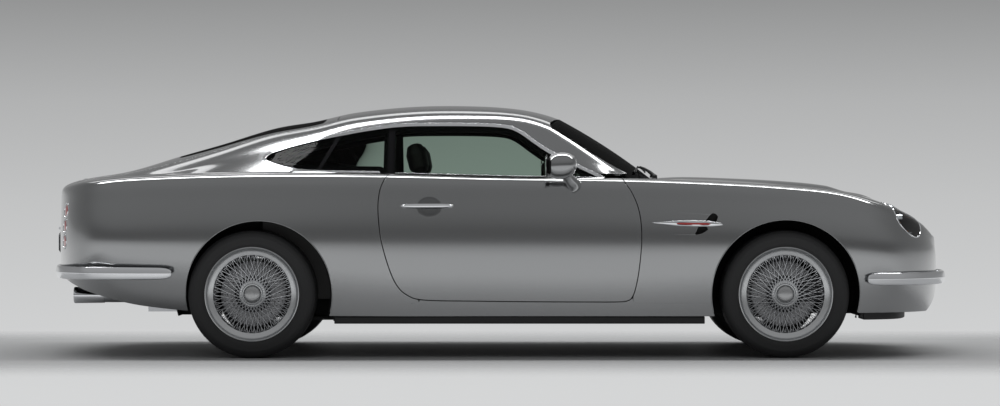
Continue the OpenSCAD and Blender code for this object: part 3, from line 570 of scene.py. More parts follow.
def full_width(half):
    """A half section, drawn from its edge to the middle, as a full-width sheet with s from -1 to 1."""
    def sheet(x, s):
        p = half(x, 1 - np.abs(s))
        p[:, 1] *= np.where(s > 0, 1, -1)
        return p
    return sheet


deck_full, cabin_full = full_width(deck), full_width(cabin)


def full_normals(fn, u, v):
    e = 0.004
    a = fn(u + 2.0, v) - fn(u - 2.0, v)
    b = fn(u, np.clip(v + e, -1, 1)) - fn(u, np.clip(v - e, -1, 1))
    n = np.cross(a, b)
    return n / np.maximum(np.linalg.norm(n, axis=1), 1e-9)[:, None]


def cut_full(fn, us, vs, keep):
    """Trimmed full-width sheet, from the right side to the left."""
    return trimmed(fn, us, vs, keep, flip=-1, norm=full_normals)


def inside_plan(outline):
    """Signed distance inside an outline seen from above."""
    return lambda P: sdf(outline, P[:, 0], P[:, 1])


in_bonnet, in_hatch, in_hatch_glass, in_screen = map(inside_plan, (BONNET, HATCH, HATCH_GLASS, SCREEN))
bonnet_cut = cut_full(deck_full, steps(760, 2124, 11), np.linspace(-0.995, 0.995, 131),
                      lambda P, u, v: in_bonnet(P) - GAP)
o = panel("bonnet_skin", bonnet_cut, PAINT)
place(o, "bonnet_body", "bonnet", slot="paint")
o = panel("bonnet_inner", bonnet_cut, BLACK, sink=10, depth=1, bevel=-3)
place(o, "bonnet_body")
hatch_cut = cut_full(cabin_full, steps(-2248, -864, 11), np.linspace(-0.9, 0.9, 121),
                     lambda P, u, v: np.minimum(in_hatch(P) - GAP, -in_hatch_glass(P) - 0.5))
o = panel("hatch_skin", hatch_cut, PAINT)
place(o, "hatch_body", "hatch", slot="paint")
o = panel("hatch_inner", hatch_cut, TRIM, sink=16, depth=1, bevel=-3)
place(o, "hatch_body")

# glass
hg = cut_full(cabin_full, steps(-1730, -928, 14), np.linspace(-0.8, 0.8, 70),
              lambda P, u, v: in_hatch_glass(P) - 0.6)
o = panel("hatch_pane", hg, GLASS, depth=4, bevel=0.5, sink=1)
place(o, "hatch_body", "hatch_glass", slot="window_glass")
hb = cut_full(cabin_full, steps(-1730, -928, 10), np.linspace(-0.8, 0.8, 110),
              lambda P, u, v: np.minimum(in_hatch_glass(P) - 0.6, 36 - in_hatch_glass(P)))
place(panel("hatch_pane_band", hb, GLOSSBLACK, depth=1, bevel=0.2, sink=7), "hatch_body")


def screen_full(v, s):
    p = screen(v, np.abs(s))
    p[:, 1] *= np.where(s > 0, 1, -1)
    return p


def screen_normals(fn, u, v):
    e = 0.004
    n = np.cross(fn(u, v + e) - fn(u, v - e), fn(u + e, v) - fn(u - e, v))
    return n / np.maximum(np.linalg.norm(n, axis=1), 1e-9)[:, None]


def screen_cut(keep, n=90):
    return trimmed(screen_full, np.linspace(-0.03, 1.03, n // 2), np.linspace(-1.03, 1.03, n), keep,
                   norm=screen_normals)


sc = screen_cut(lambda P, u, v: in_screen(P) - 0.8)
place(panel("windscreen_pane", sc, GLASS, depth=4, bevel=0.5), "car_body", "windscreen", slot="window_glass")
sb = screen_cut(lambda P, u, v: np.minimum(in_screen(P) - 0.8, 30 - in_screen(P)), 150)
place(panel("windscreen_band", sb, GLOSSBLACK, depth=1, bevel=0.2, sink=7), "car_body")

# ends of the strip across the quarter glass, as station and height
DIV = np.array([[-856, 1149], [-953, 976]], float)


def line_distance(P):
    d = DIV[1] - DIV[0]
    n = np.array([-d[1], d[0]]) / np.hypot(*d)
    return (P[:, [0, 2]] - DIV[0]) @ n


def window_piece(name, keep, mat, body_name, sink, depth, bevel, size=12, slot=None, left=(), right=(), n=60,
                 x0=-1245, x1=530, s0=0.003, s1=0.66):
    """Both sides' pieces of the side glass or its trim, between stations x0 and x1."""
    cut = trimmed(cabin, steps(x0, x1, size), np.linspace(s0, s1, n), keep, vlim=(0, 1))
    pair_panels(cut, (name, mat, body_name, left, right, slot, dict(depth=depth, bevel=bevel, sink=sink)))


def win(P):
    return sdf(WINDOW, P[:, 0], P[:, 2])


def door_part(P, u, v):
    return np.minimum(win(P) - 3, P[:, 0] + 563)


def quarter_part(P, u, v):
    return np.minimum(win(P) - 1, -598 - P[:, 0])


ON_DOOR, ON_BODY = "door_{}_body", "car_body"
window_piece("door_pane", door_part, GLASS, ON_DOOR, 3, 4, 0.4, slot="window_glass", left=["door_glass_left"],
             right=["door_glass_right"], x0=-566)
window_piece("quarter_pane", quarter_part, GLASS, ON_BODY, 3, 4, 0.4, slot="window_glass", left=["quarter_glasses"],
             x1=-594)
window_piece("door_pane_band", lambda P, u, v: np.minimum(door_part(P, u, v), 26 - win(P)), GLOSSBLACK, ON_DOOR,
             8, 1, 0.2, size=9, n=90, x0=-566)
window_piece("quarter_pane_band", lambda P, u, v: np.minimum(quarter_part(P, u, v), 34 - win(P)), GLOSSBLACK, ON_BODY,
             8, 1, 0.2, size=9, n=90, x1=-594)
window_piece("quarter_divider", lambda P, u, v: np.minimum(win(P) - 1, 9 - np.abs(line_distance(P))), GLOSSBLACK,
             ON_BODY, 1, 3, 0.4, size=6, n=90, x0=-1000, x1=-800)
window_piece("centre_post", lambda P, u, v: np.minimum(win(P) + 2, 30 - np.abs(P[:, 0] + 588)), GLOSSBLACK,
             ON_BODY, 9, 6, 0.4, size=9, x0=-620, x1=-556)
window_piece("window_trim", lambda P, u, v: 7.5 - np.abs(win(P) + 4.5), CHROME, ON_BODY, -2.2, 4, 1.3, size=6,
             n=130, x0=-1262, x1=540)
window_piece("belt_trim", lambda P, u, v: np.minimum(P[:, 0] + 556, 520 - P[:, 0]), CHROME, ON_DOOR, -2.5, 5, 1.2,
             size=14, n=3, x0=-580, x1=524, s0=0.004, s1=0.028)


class Mesh:
    """Collects points, in millimetres, and faces for one object."""

    def __init__(self):
        self.v, self.f, self.m = [], [], []

    def add(self, pts, faces, mat=0):
        k = len(self.v)
        self.v.extend([tuple(map(float, p)) for p in pts])
        self.f.extend([tuple(i + k for i in q) for q in faces])
        self.m.extend([mat] * len(faces))
        return self

    def lathe(self, profile, centre=(0, 0, 0), axis="y", segs=96, mat=0, flip=False):
        """profile is a list of (radius, place along the axis)."""
        pts, faces = [], []
        m = len(profile)
        for i in range(segs):
            a = math.radians(360 * i / segs)
            for r, h in profile:
                c, d = r * math.cos(a), r * math.sin(a)
                p = {"x": (h, c, d), "y": (c, h, d), "z": (c, d, h)}[axis]
                pts.append((p[0] + centre[0], p[1] + centre[1], p[2] + centre[2]))
        for i in range(segs):
            j = (i + 1) % segs
            for k in range(m - 1):
                q = (i * m + k, j * m + k, j * m + k + 1, i * m + k + 1)
                faces.append(q[::-1] if flip else q)
        return self.add(pts, faces, mat)

    def tube(self, path, radius, n=8, mat=0, squash=1.0, up=(0, 0, 1), cap=True, closed=False):
        """Round or flattened bar along a path; radius is a number or one for each point."""
        p = np.array(path, float)
        m = len(p)
        rad = np.full(m, radius) if np.isscalar(radius) else np.array(radius, float)
        if closed:
            t = np.roll(p, -1, 0) - np.roll(p, 1, 0)
        else:
            t = np.gradient(p, axis=0)
        t /= np.linalg.norm(t, axis=1)[:, None]
        side_v = np.cross(t, np.array(up, float))
        side_v /= np.maximum(np.linalg.norm(side_v, axis=1), 1e-9)[:, None]
        upv = np.cross(side_v, t)
        pts, faces = [], []
        for i in range(m):
            for k in range(n):
                a = 2 * math.pi * k / n
                pts.append(p[i] + side_v[i] * math.cos(a) * rad[i] * squash + upv[i] * math.sin(a) * rad[i])
        for i in range(m if closed else m - 1):
            j = (i + 1) % m
            for k in range(n):
                l = (k + 1) % n
                faces.append((i * n + k, i * n + l, j * n + l, j * n + k))
        if cap and not closed:
            faces.append(tuple(range(n))[::-1])
            faces.append(tuple((m - 1) * n + k for k in range(n)))
        return self.add(pts, faces, mat)

    def blob(self, centre, half, power=4.0, n=12, mat=0, shape=None):
        """Rounded box: a superellipsoid; shape(p) may move unit points."""
        pts, faces = [], []
        rows = n * 2
        for i in range(n + 1):
            b = -math.pi / 2 + math.pi * i / n
            for j in range(rows):
                a = 2 * math.pi * j / rows
                d = np.array([math.cos(b) * math.cos(a), math.cos(b) * math.sin(a), math.sin(b)])
                xy = (abs(d[0])**power + abs(d[1])**power)**(1 / power)
                r = (xy**power + abs(d[2])**power)**(-1 / power)
                q = d * r
                if shape:
                    q = shape(q)
                pts.append(q * np.array(half) + np.array(centre))
        for i in range(n):
            for j in range(rows):
                k = (j + 1) % rows
                faces.append((i * rows + j, i * rows + k, (i + 1) * rows + k, (i + 1) * rows + j))
        return self.add(pts, faces, mat)

    def prism(self, outline, lo, hi, axis="x", mat=0):
        """Outline in the other two axes, extruded from lo to hi."""
        n = len(outline)
        pts = []
        for h in (lo, hi):
            for a, b in outline:
                pts.append({"x": (h, a, b), "y": (a, h, b), "z": (a, b, h)}[axis])
        faces = [tuple(range(n))[::-1], tuple(range(n, 2 * n))]
        faces += [(i, (i + 1) % n, n + (i + 1) % n, n + i) for i in range(n)]
        if axis == "y":
            faces = [q[::-1] for q in faces]
        return self.add(pts, faces, mat)

    def done(self, name, mats, mirror=False, move=(0, 0, 0), bevel=0, angle=35, segs=2):
        """The object, smooth but for edges sharper than angle."""
        me = bpy.data.meshes.new(name)
        s = -1 if mirror else 1
        v = [((x + move[0]) / 1000, s * (y + move[1]) / 1000, (z + move[2]) / 1000) for x, y, z in self.v]
        me.from_pydata(v, [], [q[::-1] for q in self.f] if mirror else self.f)
        for m in (mats if isinstance(mats, (list, tuple)) else [mats]):
            me.materials.append(m)
        me.polygons.foreach_set("material_index", np.array(self.m, np.int32))
        me.validate()
        bm = bmesh.new()
        bm.from_mesh(me)
        bmesh.ops.remove_doubles(bm, verts=bm.verts, dist=1e-6)
        bmesh.ops.recalc_face_normals(bm, faces=bm.faces)
        bm.to_mesh(me)
        bm.free()
        me.polygons.foreach_set("use_smooth", np.ones(len(me.polygons), bool))
        me.set_sharp_from_angle(angle=math.radians(angle))
        o = bpy.data.objects.new(name, me)
        bpy.context.scene.collection.objects.link(o)
        if bevel:
            b = o.modifiers.new("bevel", "BEVEL")
            b.width, b.segments, b.limit_method, b.angle_limit = bevel / 1000, segs, "ANGLE", math.radians(35)
            b.harden_normals = True
        return o


# wheels
SPOKE_PAIRS, DISC_SLOTS, TREAD_BLOCKS = 30, 36, 72
RIM = material("wheel_satin", (0.60, 0.61, 0.62), 0.28, 1.0, bump=("noise", 260, 0.05, 0.0004))
SPOKE = material("spoke_steel", (0.62, 0.63, 0.65), 0.22, 1.0)
HUB_CAP = material("hub_cap_satin", (0.45, 0.455, 0.46), 0.3, 0.9, bump=("noise", 300, 0.04, 0.0003))
# near-black for the tread's cross grooves: painted shade of the groove recesses
TREAD_GROOVE_SHADE = material("tread_groove_painted_shade", (0.004, 0.004, 0.004), 0.9)


def make_wheel(name, x, y, mirror):
    """Wire wheel, brake disc and tyre at an axle end; profiles are (radius, outward) from the axle."""
    body_name = f"{name}_wheel"
    m = Mesh()
    rim = [(195, 58), (197, 70), (199, 80), (202, 86), (208, 89), (218, 92), (227, 97), (232, 103), (236, 110),
           (240, 113.6), (243, 113), (244, 110), (243, 106), (240, 104)]
    m.lathe(rim, segs=120, mat=0)
    m.lathe([(195, 58), (196, 48), (201, 40)], segs=96, mat=0)
    # the rim from the well to the back flange, and its face under the tyre, are near-black: painted shade inside the
    # wheel
    m.lathe([(201, 40), (207, 20), (210, -60), (216, -96), (236, -108), (243, -112), (243, -104), (238, -103)],
            segs=96, mat=2)
    m.lathe([(239, 104), (236, 98), (226, 60), (222, 0), (226, -60), (238, -102)], segs=72, mat=2, flip=True)
    m.lathe([(0, 96), (14, 95.6), (28, 93.6), (36, 90.5), (41, 86), (43, 80), (43.5, 74)], segs=64, mat=3)
    m.lathe([(43.5, 74), (47, 78.5), (50.5, 79), (53, 76.5), (54, 72), (57, 70), (64, 72), (68, 69), (70, 62),
             (64, 52), (60, 40), (60, 36), (67, 31), (71, 26), (71, 16), (65, 8), (65, -34)], segs=72, mat=0)
    for k in range(SPOKE_PAIRS):
        a = 2 * math.pi * k / SPOKE_PAIRS
        for s in (-1, 1):
            for r0, y0, r1, y1, turn, off, rad in ((64, 68, 201, 82, 0.54, 0, 1.75), (62, 26, 199, 50, 0.42, 0.5, 1.7)):
                c = a + off * 2 * math.pi / SPOKE_PAIRS
                p = np.array([r1 * math.cos(c + s * 0.016), y1, r1 * math.sin(c + s * 0.016)])
                q = np.array([r0 * math.cos(c + s * turn), y0, r0 * math.sin(c + s * turn)])
                d = (q - p) / np.linalg.norm(q - p)
                m.tube([p, p + d * 13, p + d * 14, q], [2.7, 2.5, rad, rad], n=6, mat=1, up=(0.1, 1, 0.05))
        b = a + math.pi / SPOKE_PAIRS
        m.blob((61 * math.cos(b), 72.5, 61 * math.sin(b)), (2.8, 2.8, 2.8), power=2, n=4, mat=1)
    o = m.done(f"wheel_{name}", [RIM, SPOKE, DARK_METAL_AND_SHADE, HUB_CAP], mirror=mirror, move=(x, y, AXLE_Z))
    place(o, body_name, f"wheel_{name}", slot="wheel_metal")
    # brake disc with rows of holes drawn as dark dots, painted shade of the holes, and a dark bell
    d = Mesh()
    d.lathe([(96, -3), (100, -2.4), (168, -2.4), (171, -4), (172, -6), (172, -10), (164, -12), (164, -24), (172, -26),
             (172, -31), (168, -33.6), (90, -33.6)], segs=96, mat=0)
    d.lathe([(58, 6), (88, 6), (93, 2), (96, -3)], segs=64, mat=1, flip=True)
    for k in range(DISC_SLOTS):
        a = 2 * math.pi * k / DISC_SLOTS
        for i, r in enumerate((118, 136, 154)):
            b = a + i * 0.05
            # each hole is a dark dot just proud of the disc face: painted shade
            d.lathe([(0, -2.0), (3.2, -2.0), (3.4, -2.6)], centre=(r * math.cos(b), 0, r * math.sin(b)), segs=8, mat=1)
    place(d.done(f"brake_disc_{name}", [STEEL, DARK_METAL_AND_SHADE], mirror=mirror, move=(x, y, AXLE_Z)), body_name)
    # tyre with shoulder ribs and tread grooves; the cross grooves are flat near-black strips on the tread, painted
    # shade of the recesses
    t = Mesh()
    half = [(235, 100), (240, 109), (246, 113.5), (252, 115.5), (256, 119), (262, 121), (276, 122), (288, 121.4),
            (291, 122), (295, 121.6), (300, 119.8), (308, 117), (315, 112.6), (320, 107.5), (322.5, 104), (323.4, 104),
            (326, 99), (328.6, 92), (329.8, 84), (330, 78)]
    tread = []
    for gy in (52, 20):
        tread += [(330, gy + 4), (323, gy + 3), (323, gy - 3), (330, gy - 4)]
    prof = half + tread
    prof += [(r, -h) for r, h in prof[::-1]]
    t.lathe(prof, segs=144, mat=0)
    # cross grooves: flat strips on the tread in near-black, painted shade
    tread_r, edge_r, w = 330.25, 322.9, 0.0052
    for k in range(TREAD_BLOCKS):
        a = 2 * math.pi * k / TREAD_BLOCKS
        for s in (-1, 1):
            for y0, y1, da in ((60, 106, 0.010), (28, 46, -0.012)):
                c = a + (0.02 if s > 0 else 0) + (0.022 if y0 < 50 else 0)
                pts = []
                for yy, off in ((y0, -da), (y1, da)):
                    rr = tread_r if yy < 80 else edge_r
                    for e in (-w, w):
                        pts.append((rr * math.cos(c + off + e), s * yy, rr * math.sin(c + off + e)))
                if y1 > 80:
                    mid = []
                    for e in (-w, w):
                        mid.append((329.6 * math.cos(c + da * 0.4 + e), s * 88, 329.6 * math.sin(c + da * 0.4 + e)))
                    pts = pts[:2] + mid + pts[2:]
                    q = [(0, 1, 3, 2), (2, 3, 5, 4)]
                else:
                    q = [(0, 1, 3, 2)]
                t.add(pts, q, 1)
    o = t.done(f"tyre_{name}", [RUBBER, TREAD_GROOVE_SHADE], mirror=mirror, move=(x, y, AXLE_Z), angle=50)
    place(o, body_name, f"tyre_{name}", slot="tyre")


for end, x, y in (("front", FRONT_X, FRONT_Y), ("rear", REAR_X, REAR_Y)):
    for side_name, m in PAIRS:
        make_wheel(f"{end}_{side_name}", x, y, m)


def arch_lip(name, centre_x, radius, mirror):
    """Thin rolled edge that follows the body round a wheel opening."""
    pts = []
    for a in np.linspace(-14, 194, 105):
        x = centre_x + (radius - 1.5) * math.cos(math.radians(a))
        z = AXLE_Z + (radius - 1.5) * math.sin(math.radians(a))
        t = np.linspace(0, 1, 60)
        line = side(np.full(60, x), t)
        k = np.searchsorted(line[:, 2], z)
        if 0 < k < 60:
            f = (z - line[k - 1, 2]) / (line[k, 2] - line[k - 1, 2])
            pts.append((x, mix(line[k - 1, 1], line[k, 1], f) + 0.2, z))
    return Mesh().tube(pts, 2.6, n=8, squash=1.0, up=(0, 1, 0)).done(name, PAINT, mirror=mirror)


for side_name, m in PAIRS:
    place(arch_lip(f"arch_lip_front_{side_name}", FRONT_X, ARCH_F, m), "car_body")
    place(arch_lip(f"arch_lip_rear_{side_name}", REAR_X + ARCH_R_DX, ARCH_R, m), "car_body")


# bumpers
def bumper(name, line, z, height, node):
    """Swept blade, full width: line holds (x, y, thickness, height share) from the middle to the end."""
    h = smooth([(a, b) for a, b, _, _ in line], 8, False)
    s = np.linspace(0, 1, len(h))
    k = np.linspace(0, 1, len(line))
    th = np.interp(s, k, [q[2] for q in line])
    hs = np.interp(s, k, [q[3] for q in line])
    pts = np.concatenate([(h * [1, -1])[::-1][:-1], h])
    th, hs = np.concatenate([th[::-1][:-1], th]), np.concatenate([hs[::-1][:-1], hs])
    t = np.gradient(pts, axis=0)
    t /= np.linalg.norm(t, axis=1)[:, None]
    out = np.stack([t[:, 1], -t[:, 0]], 1)
    if (out[len(out) // 2, 0] > 0) != (pts[len(pts) // 2, 0] > 0):
        out = -out
    sec = [(-1.0, -0.30), (-0.7, -0.86), (-0.3, -0.98), (0.0, -1.0), (0.3, -0.93), (0.52, -0.78), (0.7, -0.55),
           (0.84, -0.3), (0.94, -0.1), (1.0, 0.0), (0.94, 0.1), (0.84, 0.3), (0.7, 0.55), (0.52, 0.78), (0.3, 0.93),
           (0.0, 1.0), (-0.3, 0.98), (-0.7, 0.86), (-1.0, 0.30)]
    v, f = [], []
    n = len(sec)
    for i in range(len(pts)):
        for a, b in sec:
            d = (a - 1) * 0.5 * th[i]
            v.append((pts[i][0] + out[i][0] * d, pts[i][1] + out[i][1] * d, z + b * height / 2 * hs[i]))
    for i in range(len(pts) - 1):
        for j in range(n):
            q = (j + 1) % n
            f.append((i * n + j, i * n + q, (i + 1) * n + q, (i + 1) * n + j))
    f.append(tuple(range(n)))
    f.append(tuple((len(pts) - 1) * n + j for j in range(n))[::-1])
    o = Mesh().add(v, f).done(name, CHROME, angle=60)
    place(o, "car_body", node, slot="bright_trim")


bumper("front_bumper_blade", [(2398, 0, 26, 1), (2382, 200, 26, 1), (2352, 400, 26, 1), (2305, 560, 26, 1),
                              (2216, 710, 26, 1), (2090, 820, 26, 1), (1980, 878, 24, 1), (1920, 905, 20, 0.92),
                              (1893, 916, 15, 0.66), (1885, 919, 9, 0.30)], 407, 65, "front_bumper")
bumper("rear_bumper_blade", [(-2402, 0, 26, 1), (-2386, 300, 26, 1), (-2352, 520, 26, 1), (-2306, 700, 26, 1),
                             (-2234, 822, 26, 1), (-2140, 914, 24, 1), (-1960, 953, 22, 1), (-1760, 968, 20, 0.92),
                             (-1712, 970, 15, 0.66), (-1700, 971, 9, 0.3)], 438, 66, "rear_bumper")

# grille and intake: half width of the straight part and height of the middle
GRILLE_HALF, GRILLE_Z = 270, 535
g = Mesh()


def stadium_ring(r, x, half=GRILLE_HALF, cy=GRILLE_Z):
    a = np.linspace(-90, 90, 24)
    right = [(x, half + r * math.cos(math.radians(t)), cy + r * math.sin(math.radians(t))) for t in a]
    left = [(x, -half + r * math.cos(math.radians(t)), cy + r * math.sin(math.radians(t))) for t in a + 180]
    return right + left


rings = [stadium_ring(r, x) for r, x in ((97, 2196), (92, 2230), (90, 2262), (84, 2266), (80, 2262), (79, 2240),
                                         (80, 2196))]
# the surround follows the nose in plan
surround = [[(x + (1 - (y / 700)**2) * 66 - 13, y, z) for x, y, z in ring] for ring in rings]
n = len(surround[0])
g.add([p for ring in surround for p in ring],
      [(i * n + j, i * n + (j + 1) % n, (i + 1) * n + (j + 1) % n, (i + 1) * n + j) for i in range(len(rings) - 1)
       for j in range(n)], 0)
for k in range(-17, 18):
    y = k * 19.0
    e = max(abs(y) - GRILLE_HALF, 0)
    if e > 76:
        continue
    h = math.sqrt(79**2 - e * e)
    x = 2226 + (1 - (y / 700)**2) * 40
    g.tube([(x, y, GRILLE_Z - h), (x, y, GRILLE_Z + h)], 2.6, n=6, mat=1, up=(1, 0, 0))
for z in np.arange(-66, 67, 16.5):
    half = GRILLE_HALF + math.sqrt(79**2 - z * z)
    ys = np.linspace(-half, half, 25)
    g.tube([(2230 + (1 - (y / 700)**2) * 40, y, GRILLE_Z + z) for y in ys], 2.6, n=6, mat=1, up=(1, 0, 0))
o = g.done("grille_mesh", [CHROME, SATIN])
place(o, "car_body", "grille", slot="bright_trim")
back = Mesh()
back.prism([(-365, 440), (365, 440), (365, 630), (-365, 630)], 2150, 2156, "x")
back.prism([(-310, 250), (310, 250), (310, 345), (-310, 345)], 2150, 2156, "x")
place(back.done("grille_back", BLACK, bevel=2), "car_body")
im = Mesh()
for k in range(-15, 16):
    im.tube([(2215, k * 19, 262), (2215, k * 19, 340)], 2.4, n=6, up=(1, 0, 0))
for z in (280, 301, 322):
    im.tube([(2215, -292, z), (2215, 292, z)], 2.4, n=6, up=(1, 0, 0))
place(im.done("intake_mesh", BLACK), "car_body")


# lamps
def nose_x(y, z, lo, hi):
    """Station where the body side passes through a half width and height."""
    for _ in range(40):
        mid = (lo + hi) / 2
        line = side(np.full(90, mid), np.linspace(0, 1, 90))
        half = np.interp(z, line[:, 2], line[:, 1])
        if (half > y) == (hi > 0):
            lo = mid
        else:
            hi = mid
    return (lo + hi) / 2


def surface_frame(y, z, lo, hi):
    """Point and outward unit normal of the body side at a half width and height."""
    x = nose_x(y, z, lo, hi)
    dy = (nose_x(y + 6, z, lo, hi) - nose_x(y - 6, z, lo, hi)) / 12
    dz = (nose_x(y, z + 6, lo, hi) - nose_x(y, z - 6, lo, hi)) / 12
    n = np.array([1.0, -dy, -dz]) * (1 if hi > 0 else -1)
    return np.array([x, y, z]), n / np.linalg.norm(n)


def aimed(profile, centre, n, mesh, segs=48, mat=0):
    """Lathe about an axis n through centre; profile holds (radius, distance along n)."""
    a = np.cross(n, [0, 0, 1.0])
    a /= np.linalg.norm(a)
    b = np.cross(n, a)
    pts, faces = [], []
    k = len(profile)
    for i in range(segs):
        t = 2 * math.pi * i / segs
        for r, h in profile:
            pts.append(centre + n * h + (a * math.cos(t) + b * math.sin(t)) * max(r, 0.01))
    for i in range(segs):
        j = (i + 1) % segs
        faces += [(i * k + q, j * k + q, j * k + q + 1, i * k + q + 1) for q in range(k - 1)]
    mesh.add(pts, faces, mat)


def keep_lens(P, u, v):
    x, y, z = P.T
    return np.where(x > 1900, LAMP_R - 4 - np.hypot(y - LAMP_Y, z - LAMP_Z), -1)


lens_cut = trimmed(front_body, np.linspace(1930, 2250, 60), np.linspace(0.3, 1.5, 80), keep_lens)
ring_pts = []
for a in np.linspace(0, 2 * math.pi, 96, endpoint=False):
    y, z = LAMP_Y + (LAMP_R - 1) * math.cos(a), LAMP_Z + (LAMP_R - 1) * math.sin(a)
    best = None
    for x in np.linspace(1880, 2280, 161):
        line = np.concatenate([side(np.full(60, x), np.linspace(0, 1, 60)),
                               deck(np.full(30, x), np.linspace(0.01, 0.5, 30))])
        d = np.min(np.hypot(line[:, 1] - y, line[:, 2] - z))
        if best is None or d < best[0]:
            best = (d, x)
    ring_pts.append((best[1], y, z))
ring_pts = np.array(ring_pts)
for _ in range(3):
    ring_pts[:, 0] = (np.roll(ring_pts[:, 0], 1) + ring_pts[:, 0] * 2 + np.roll(ring_pts[:, 0], -1)) / 4
for side_name, m in PAIRS:
    o = panel(f"headlamp_cover_{side_name}", lens_cut, LENS, mirror=m, depth=3, bevel=0.4, sink=0.5)
    place(o, "car_body", *(["headlamps"] if not m else []), slot="lamp_glass")
    h = Mesh()
    h.tube(ring_pts, 3.6, n=8, mat=0, closed=True, cap=False, up=(1, 0, 0))
    back = ring_pts - np.array([150, 0, 0]) + (np.array([0, LAMP_Y, LAMP_Z]) - ring_pts) * [0, 0.12, 0.12]
    n = len(ring_pts)
    h.add(np.concatenate([ring_pts - [3, 0, 0], back]),
          [(i, (i + 1) % n, n + (i + 1) % n, n + i) for i in range(n)] + [tuple(range(n, 2 * n))], 1)
    for dy, dz, r in ((-34, -4, 33), (38, 6, 25)):
        x = min(nose_x(LAMP_Y + dy + e, LAMP_Z + dz + g, 1800, 2330) for e in (-r, r) for g in (-r, r)) - 12
        q = (0, LAMP_Y + dy, LAMP_Z + dz)
        h.lathe([(0, x - 2), (r * 0.5, x - 6), (r * 0.86, x - 20), (r * 0.92, x - 34)], centre=q, axis="x", segs=40,
                mat=2)
        h.lathe([(r * 0.86, x - 26), (r * 0.98, x - 4), (r, x), (r + 3.5, x - 2), (r + 3.5, x - 70)], centre=q,
                axis="x", segs=40, mat=0)
        h.lathe([(0, x - 60), (r * 0.5, x - 54), (r * 0.9, x - 30)], centre=q, axis="x", segs=32, mat=3)
    x = nose_x(LAMP_Y + 20, LAMP_Z - 62, 1800, 2330)
    h.blob((x - 30, LAMP_Y - 6, LAMP_Z - 62), (12, 44, 8), power=3, n=8, mat=4)
    place(h.done(f"headlamp_{side_name}", [CHROME, GLOSSBLACK, LENS, SILVER_LAMP, AMBER], mirror=m), "car_body")
    t = Mesh()
    for z in (600, 680, 760):
        c, nn = surface_frame(585, z, -2374, -2100)
        aimed([(0, 2), (14, 1.8), (27, 0.5), (34, -3), (36, -10), (36, -24)], c, nn, t, mat=0)
        aimed([(35.5, -4), (38, 1.5), (41, 2), (43.5, 0), (44, -8), (44, -30)], c, nn, t, mat=1)
        aimed([(0, -16), (12, -17), (22, -14), (35, -8)], c, nn, t, mat=2, segs=32)
    o = t.done(f"tail_lamp_{side_name}", [RED, CHROME, SILVER_LAMP], mirror=m)
    place(o, "car_body", *(["tail_lamps"] if not m else []), slot="tail_lens")
# black sill strips and front splitter
t = Mesh()
for s in (1, -1):
    sec = [(800, 176), (858, 176), (862, 181), (862, 206), (858, 214), (800, 216)]
    t.prism([(s * y, z) for y, z in sec], -868, 1046, "x")
lip = smooth([(1868, 840), (1950, 806), (2020, 752), (2070, 680), (2108, 560), (2140, 380), (2156, 190),
              (2160, 0)], 5, False)
outline = np.concatenate([lip, (lip * [1, -1])[::-1][1:], [(1868, -600), (1960, -400), (1985, 0), (1960, 400),
                                                          (1868, 600)]])
t.prism([tuple(q) for q in outline], 196, 236, "z")
o = t.done("lower_trim_strips", BLACK, bevel=4, segs=3)
place(o, "car_body", "lower_trim", slot="black_trim")


# small body pieces
def side_y(x, z):
    """Half width of the body side at a station and height."""
    x = np.atleast_1d(np.array(x, float))
    z = np.broadcast_to(np.array(z, float), x.shape)
    t = np.linspace(0, 1, 80)
    out = np.empty(len(x))
    for i in range(len(x)):
        line = side(np.full(80, x[i]), t)
        out[i] = np.interp(z[i], line[:, 2], line[:, 1])
    return out
